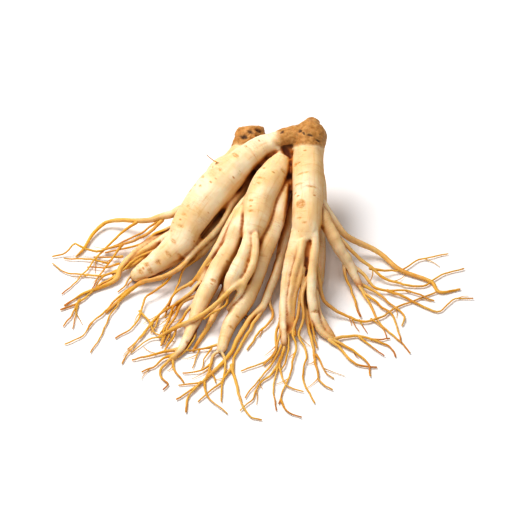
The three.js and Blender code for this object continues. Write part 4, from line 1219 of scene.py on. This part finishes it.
@dataclass(frozen=True)
class SkinFinish:
    """The root's skin: cream flesh, golden rootlets, red-brown tips and a brown scarred crown."""

    cream: Colour = (0.88, 0.64, 0.35, 1)
    pale: Colour = (0.96, 0.82, 0.60, 1)
    # tan: the flesh's own streaks, bands and scar edges, and also painted shade.
    tan: Colour = (0.72, 0.36, 0.05, 1)
    scar: Colour = (0.60, 0.27, 0.06, 1)
    gold: Colour = (0.80, 0.46, 0.045, 1)
    deep_gold: Colour = (0.66, 0.31, 0.008, 1)
    tip: Colour = (0.44, 0.13, 0.025, 1)
    # seam and pit: painted shade in creases, hollows, and seams and crevices between roots.
    seam: Colour = (0.46, 0.14, 0.01, 1)
    pit: Colour = (0.11, 0.02, 0.005, 1)
    bark: Colour = (0.47, 0.225, 0.055, 1)
    bark_pale: Colour = (0.68, 0.38, 0.13, 1)
    # bark_dark: the bark's own blots and scars, and painted shade in its creases and hollows.
    bark_dark: Colour = (0.07, 0.025, 0.01, 1)
    subsurface: float = 0.22
    subsurface_radius: Place = (1.0, 0.45, 0.18)
    subsurface_scale: float = 0.0035
    specular: float = 0.38

    def lenticels(self, n: SkinSheet) -> Socket:
        """Scatters short marks over the thick roots."""
        spots = n.add("TexVoronoi", {"Vector": n.stretch(n.flow, (0.26, 0.13, 0.13)), "Scale": 1.0})
        keep = n.remap(spots.outputs["Color"], 0.55, 0.62)
        mark = n.times(n.remap(spots.outputs["Distance"], 0.07, 0.2, 1.0, 0.0), keep)
        return n.times(mark, n.remap(n.girth, 3.4, 6.0))

    def young_flesh(self, n: SkinSheet) -> Socket:
        """Lays the pale flesh's cream, streaks, bands, rings and lenticels."""
        flesh = n.mix(n.remap(n.noise(n.place, 55, 4, 0.55), 0.35, 0.68), self.cream, self.pale)
        streak = n.times(n.remap(n.along(0.05, 0.55, 4, 0.6), 0.5, 0.78), 0.35)
        bands = n.times(n.remap(n.along(0.55, 0.06, 3, 0.65), 0.55, 0.75), 0.28)
        for share, colour in (
            (streak, self.tan), (bands, self.tan), (n.times(n.rings, 0.42), self.scar),
            (n.times(self.lenticels(n), 0.8), self.scar),
        ):
            flesh = n.mix(share, flesh, colour)
        return flesh

    def thin_roots(self, n: SkinSheet, flesh: Socket) -> Socket:
        """Turns thin roots golden and their tips red-brown."""
        gold = n.mix(n.remap(n.noise(n.place, 38, 3), 0.42, 0.68), self.gold, self.deep_gold)
        warm = n.remap(n.along(0.12, 0.5, 3), 0.25, 0.7, 0.72, 1.0)
        flesh = n.mix(n.times(n.remap(n.girth, 2.5, 0.9), warm), flesh, gold)
        ends = n.times(n.remap(n.tip, 0.3, 1.0), n.remap(n.girth, 3.0, 1.2))
        ends = n.times(ends, n.remap(n.noise(n.place, 22, 1), 0.42, 0.62, 0.15, 0.85))
        return n.mix(ends, flesh, self.tip)

    def scarred_and_shaded(self, n: SkinSheet, flesh: Socket) -> Socket:
        """Lays scars over the flesh, then painted shade: tan on the side away from the key light
        and in shut-in places, dark red and near black in creases, seams, crevices and hollows.
        """
        strokes = n.remap(n.along(1.5, 0.45, 3, 0.7), 0.40, 0.62, 0.1, 1.0)
        flesh = n.mix(n.times(n.remap(n.scar, 0.04, 0.75, 0.0, 0.9), strokes), flesh, self.scar)
        # The first coat is the scars' own tan edges; every coat after it is painted shade.
        return n.coats(flesh, [
            (n.scar, 0.02, 0.5, 0.22, self.tan), (n.lee, 0.2, 0.72, 0.85, self.tan),
            (n.shade, 0.10, 0.42, 0.8, self.tan), (n.crease, 0.08, 0.85, 0.8, self.seam),
            (n.shade, 0.22, 0.48, 0.92, self.seam), (n.seam, 0.08, 0.6, 0.95, self.seam),
            (n.seam, 0.4, 0.8, 0.85, self.pit), (n.shade, 0.36, 0.6, 0.95, self.pit),
        ])

    def crown(self, n: SkinSheet) -> Socket:
        """Lays the crown's bark, with painted shade in its creases and shut-in hollows."""
        bark = n.mix(n.remap(n.grain, 0.35, 0.68), self.bark, self.bark_pale)
        blot = n.noise(n.place, 210, 3, 0.6, 0.6)
        # Dark blots and scars are the bark's own; the crease and shade coats are painted shade.
        return n.coats(bark, [
            (blot, 0.64, 0.72, 0.8, self.bark_dark), (n.crease, 0.12, 0.7, 0.85, self.bark_dark),
            (n.scar, 0.1, 0.7, 0.85, self.bark_dark), (n.shade, 0.3, 0.65, 0.9, self.bark_dark),
        ])

    def relief(self, n: SkinSheet) -> Socket:
        """Returns the normal, tilted by fine grain, ring lines and bark."""
        normal = n.bump(n.along(2.6, 0.7, 4, 0.65), 0.30, 0.0006)
        normal = n.bump(n.times(n.rings, -1.0), 0.35, 0.0005, normal)
        return n.bump(n.times(n.grain, n.crown), 0.6, 0.0008, normal)

    def build(self) -> bpy.types.Material:
        """Returns the finished material."""
        n = SkinSheet("root_skin")
        flesh = self.scarred_and_shaded(n, self.thin_roots(n, self.young_flesh(n)))
        n.feed(n.shader, {
            "Base Color": n.mix(n.crown, flesh, self.crown(n)),
            "Roughness": n.remap(n.noise(n.place, 600, 2), 0.2, 0.8, 0.46, 0.66),
            "Subsurface Weight": self.subsurface,
            "Subsurface Radius": self.subsurface_radius,
            "Subsurface Scale": self.subsurface_scale,
            "Specular IOR Level": self.specular,
            "Normal": self.relief(n),
        })
        return n.material


@dataclass(frozen=True)
class PaperFinish:
    """A plain pale backdrop."""

    tone: Colour = (0.93, 0.93, 0.945, 1)
    roughness: float = 0.9

    def build(self) -> bpy.types.Material:
        """Returns the backdrop's material."""
        n = NodeSheet("backdrop")
        n.feed(n.shader, {"Base Color": self.tone, "Roughness": self.roughness})
        return n.material


@dataclass(frozen=True)
class Lamp:
    """One soft square light, hung at a place and aimed at the root."""

    name: str
    place: Place
    size: float
    watts: float
    tint: Place
    aim: Place = (0, 0.02, 0.02)

    def hang(self) -> None:
        """Adds the light."""
        light = bpy.data.lights.new(self.name, "AREA")
        light.size = self.size
        light.energy = self.watts
        light.color = self.tint
        holder = bpy.data.objects.new(self.name, light)
        bpy.context.scene.collection.objects.link(holder)
        holder.location = self.place
        beam = Vector(self.aim) - Vector(self.place)
        holder.rotation_euler = beam.to_track_quat("-Z", "Y").to_euler()


@dataclass
class Studio:
    """The pale floor, the soft lights and the camera, which stands in front and above."""

    elevation: float = 45.0
    lens: float = 400.0
    distance: float = 3.413
    target: Place = (-0.0036, 0.020, 0.0105)
    floor_size: float = 12
    floor_drop: float = 0.0001
    sky: Colour = (0.98, 0.975, 0.97, 1)
    sky_strength: float = 0.31
    exposure: float = 0.30
    gamma: float = 0.76
    lamps: tuple[Lamp, ...] = (
        Lamp("key", (-0.52, 0.48, 1.15), 0.75, 15.0, (1.0, 0.985, 0.965)),
        Lamp("front", (0.10, -1.0, 0.9), 0.8, 3.2, (1.0, 1.0, 1.0)),
    )

    def lay_floor(self) -> None:
        """Lays the floor."""
        bpy.ops.object.select_all(action="DESELECT")
        place = (0, 0, -self.floor_drop)
        bpy.ops.mesh.primitive_plane_add(size=self.floor_size, location=place)
        paper = bpy.context.object
        paper.name = "backdrop"
        paper.data.materials.append(PaperFinish().build())

    def light_up(self) -> None:
        """Hangs the lamps and sets the surroundings and the view's contrast."""
        for lamp in self.lamps:
            lamp.hang()
        world = bpy.data.worlds.new("studio")
        world.use_nodes = True
        sky = world.node_tree.nodes["Background"]
        sky.inputs["Color"].default_value = self.sky
        sky.inputs["Strength"].default_value = self.sky_strength
        bpy.context.scene.world = world
        view = bpy.context.scene.view_settings
        view.view_transform = "Standard"
        view.exposure = self.exposure
        view.gamma = self.gamma

    def place_camera(self) -> None:
        """Stands the camera in front of the root, looking down at it."""
        data = bpy.data.cameras.new("camera")
        data.lens = self.lens
        data.sensor_width = 36
        data.clip_start = 0.05
        data.clip_end = 50
        camera = bpy.data.objects.new("camera", data)
        bpy.context.scene.collection.objects.link(camera)
        tilt = math.radians(self.elevation)
        back = Vector((0, -math.cos(tilt), math.sin(tilt)))
        camera.location = Vector(self.target) + back * self.distance
        camera.rotation_euler = (-back).to_track_quat("-Z", "Y").to_euler()
        bpy.context.scene.camera = camera

    def build(self) -> None:
        """Sets the floor, lights and camera."""
        self.lay_floor()
        self.light_up()
        self.place_camera()


def grow_root() -> bpy.types.Object:
    """Returns the whole root as one mesh with its stored values."""
    thick = leg_strands(LEGS, Growth.LEG, 0.0) + leg_strands(BRANCHES, Growth.BRANCH, 0.35)
    thin = rootlet_strands(1.1)
    hairs = fine_hairs(thin, 11, 0.35)
    LOG.info("strands: %d thick, %d rootlets, %d hairs", len(thick), len(thin), len(hairs))
    body = Flesh(thick).build()
    twigs = Rootlets(thin).build() + Rootlets(hairs, step=3.0, sides=4).build()
    weld(body, weld_all(twigs))
    LOG.info("welded: %d faces", len(body.data.polygons))
    mark_skin(body, Anatomy(thick + thin + hairs))
    only(body)
    bpy.ops.object.shade_smooth()
    return body


def main() -> None:
    """Builds the studio and the root, and logs the root's triangle count."""
    logging.basicConfig(level=logging.INFO, format="%(message)s")
    noise.seed_set(WAVER_SEED)
    Studio().build()
    body = grow_root()
    body.data.materials.clear()
    body.data.materials.append(SkinFinish().build())
    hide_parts("ginseng_root")
    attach(body, "root")
    triangles = sum(len(face.vertices) - 2 for face in body.data.polygons)
    LOG.info("root_flesh: %d triangles", triangles)


if __name__ == "__main__":
    main()
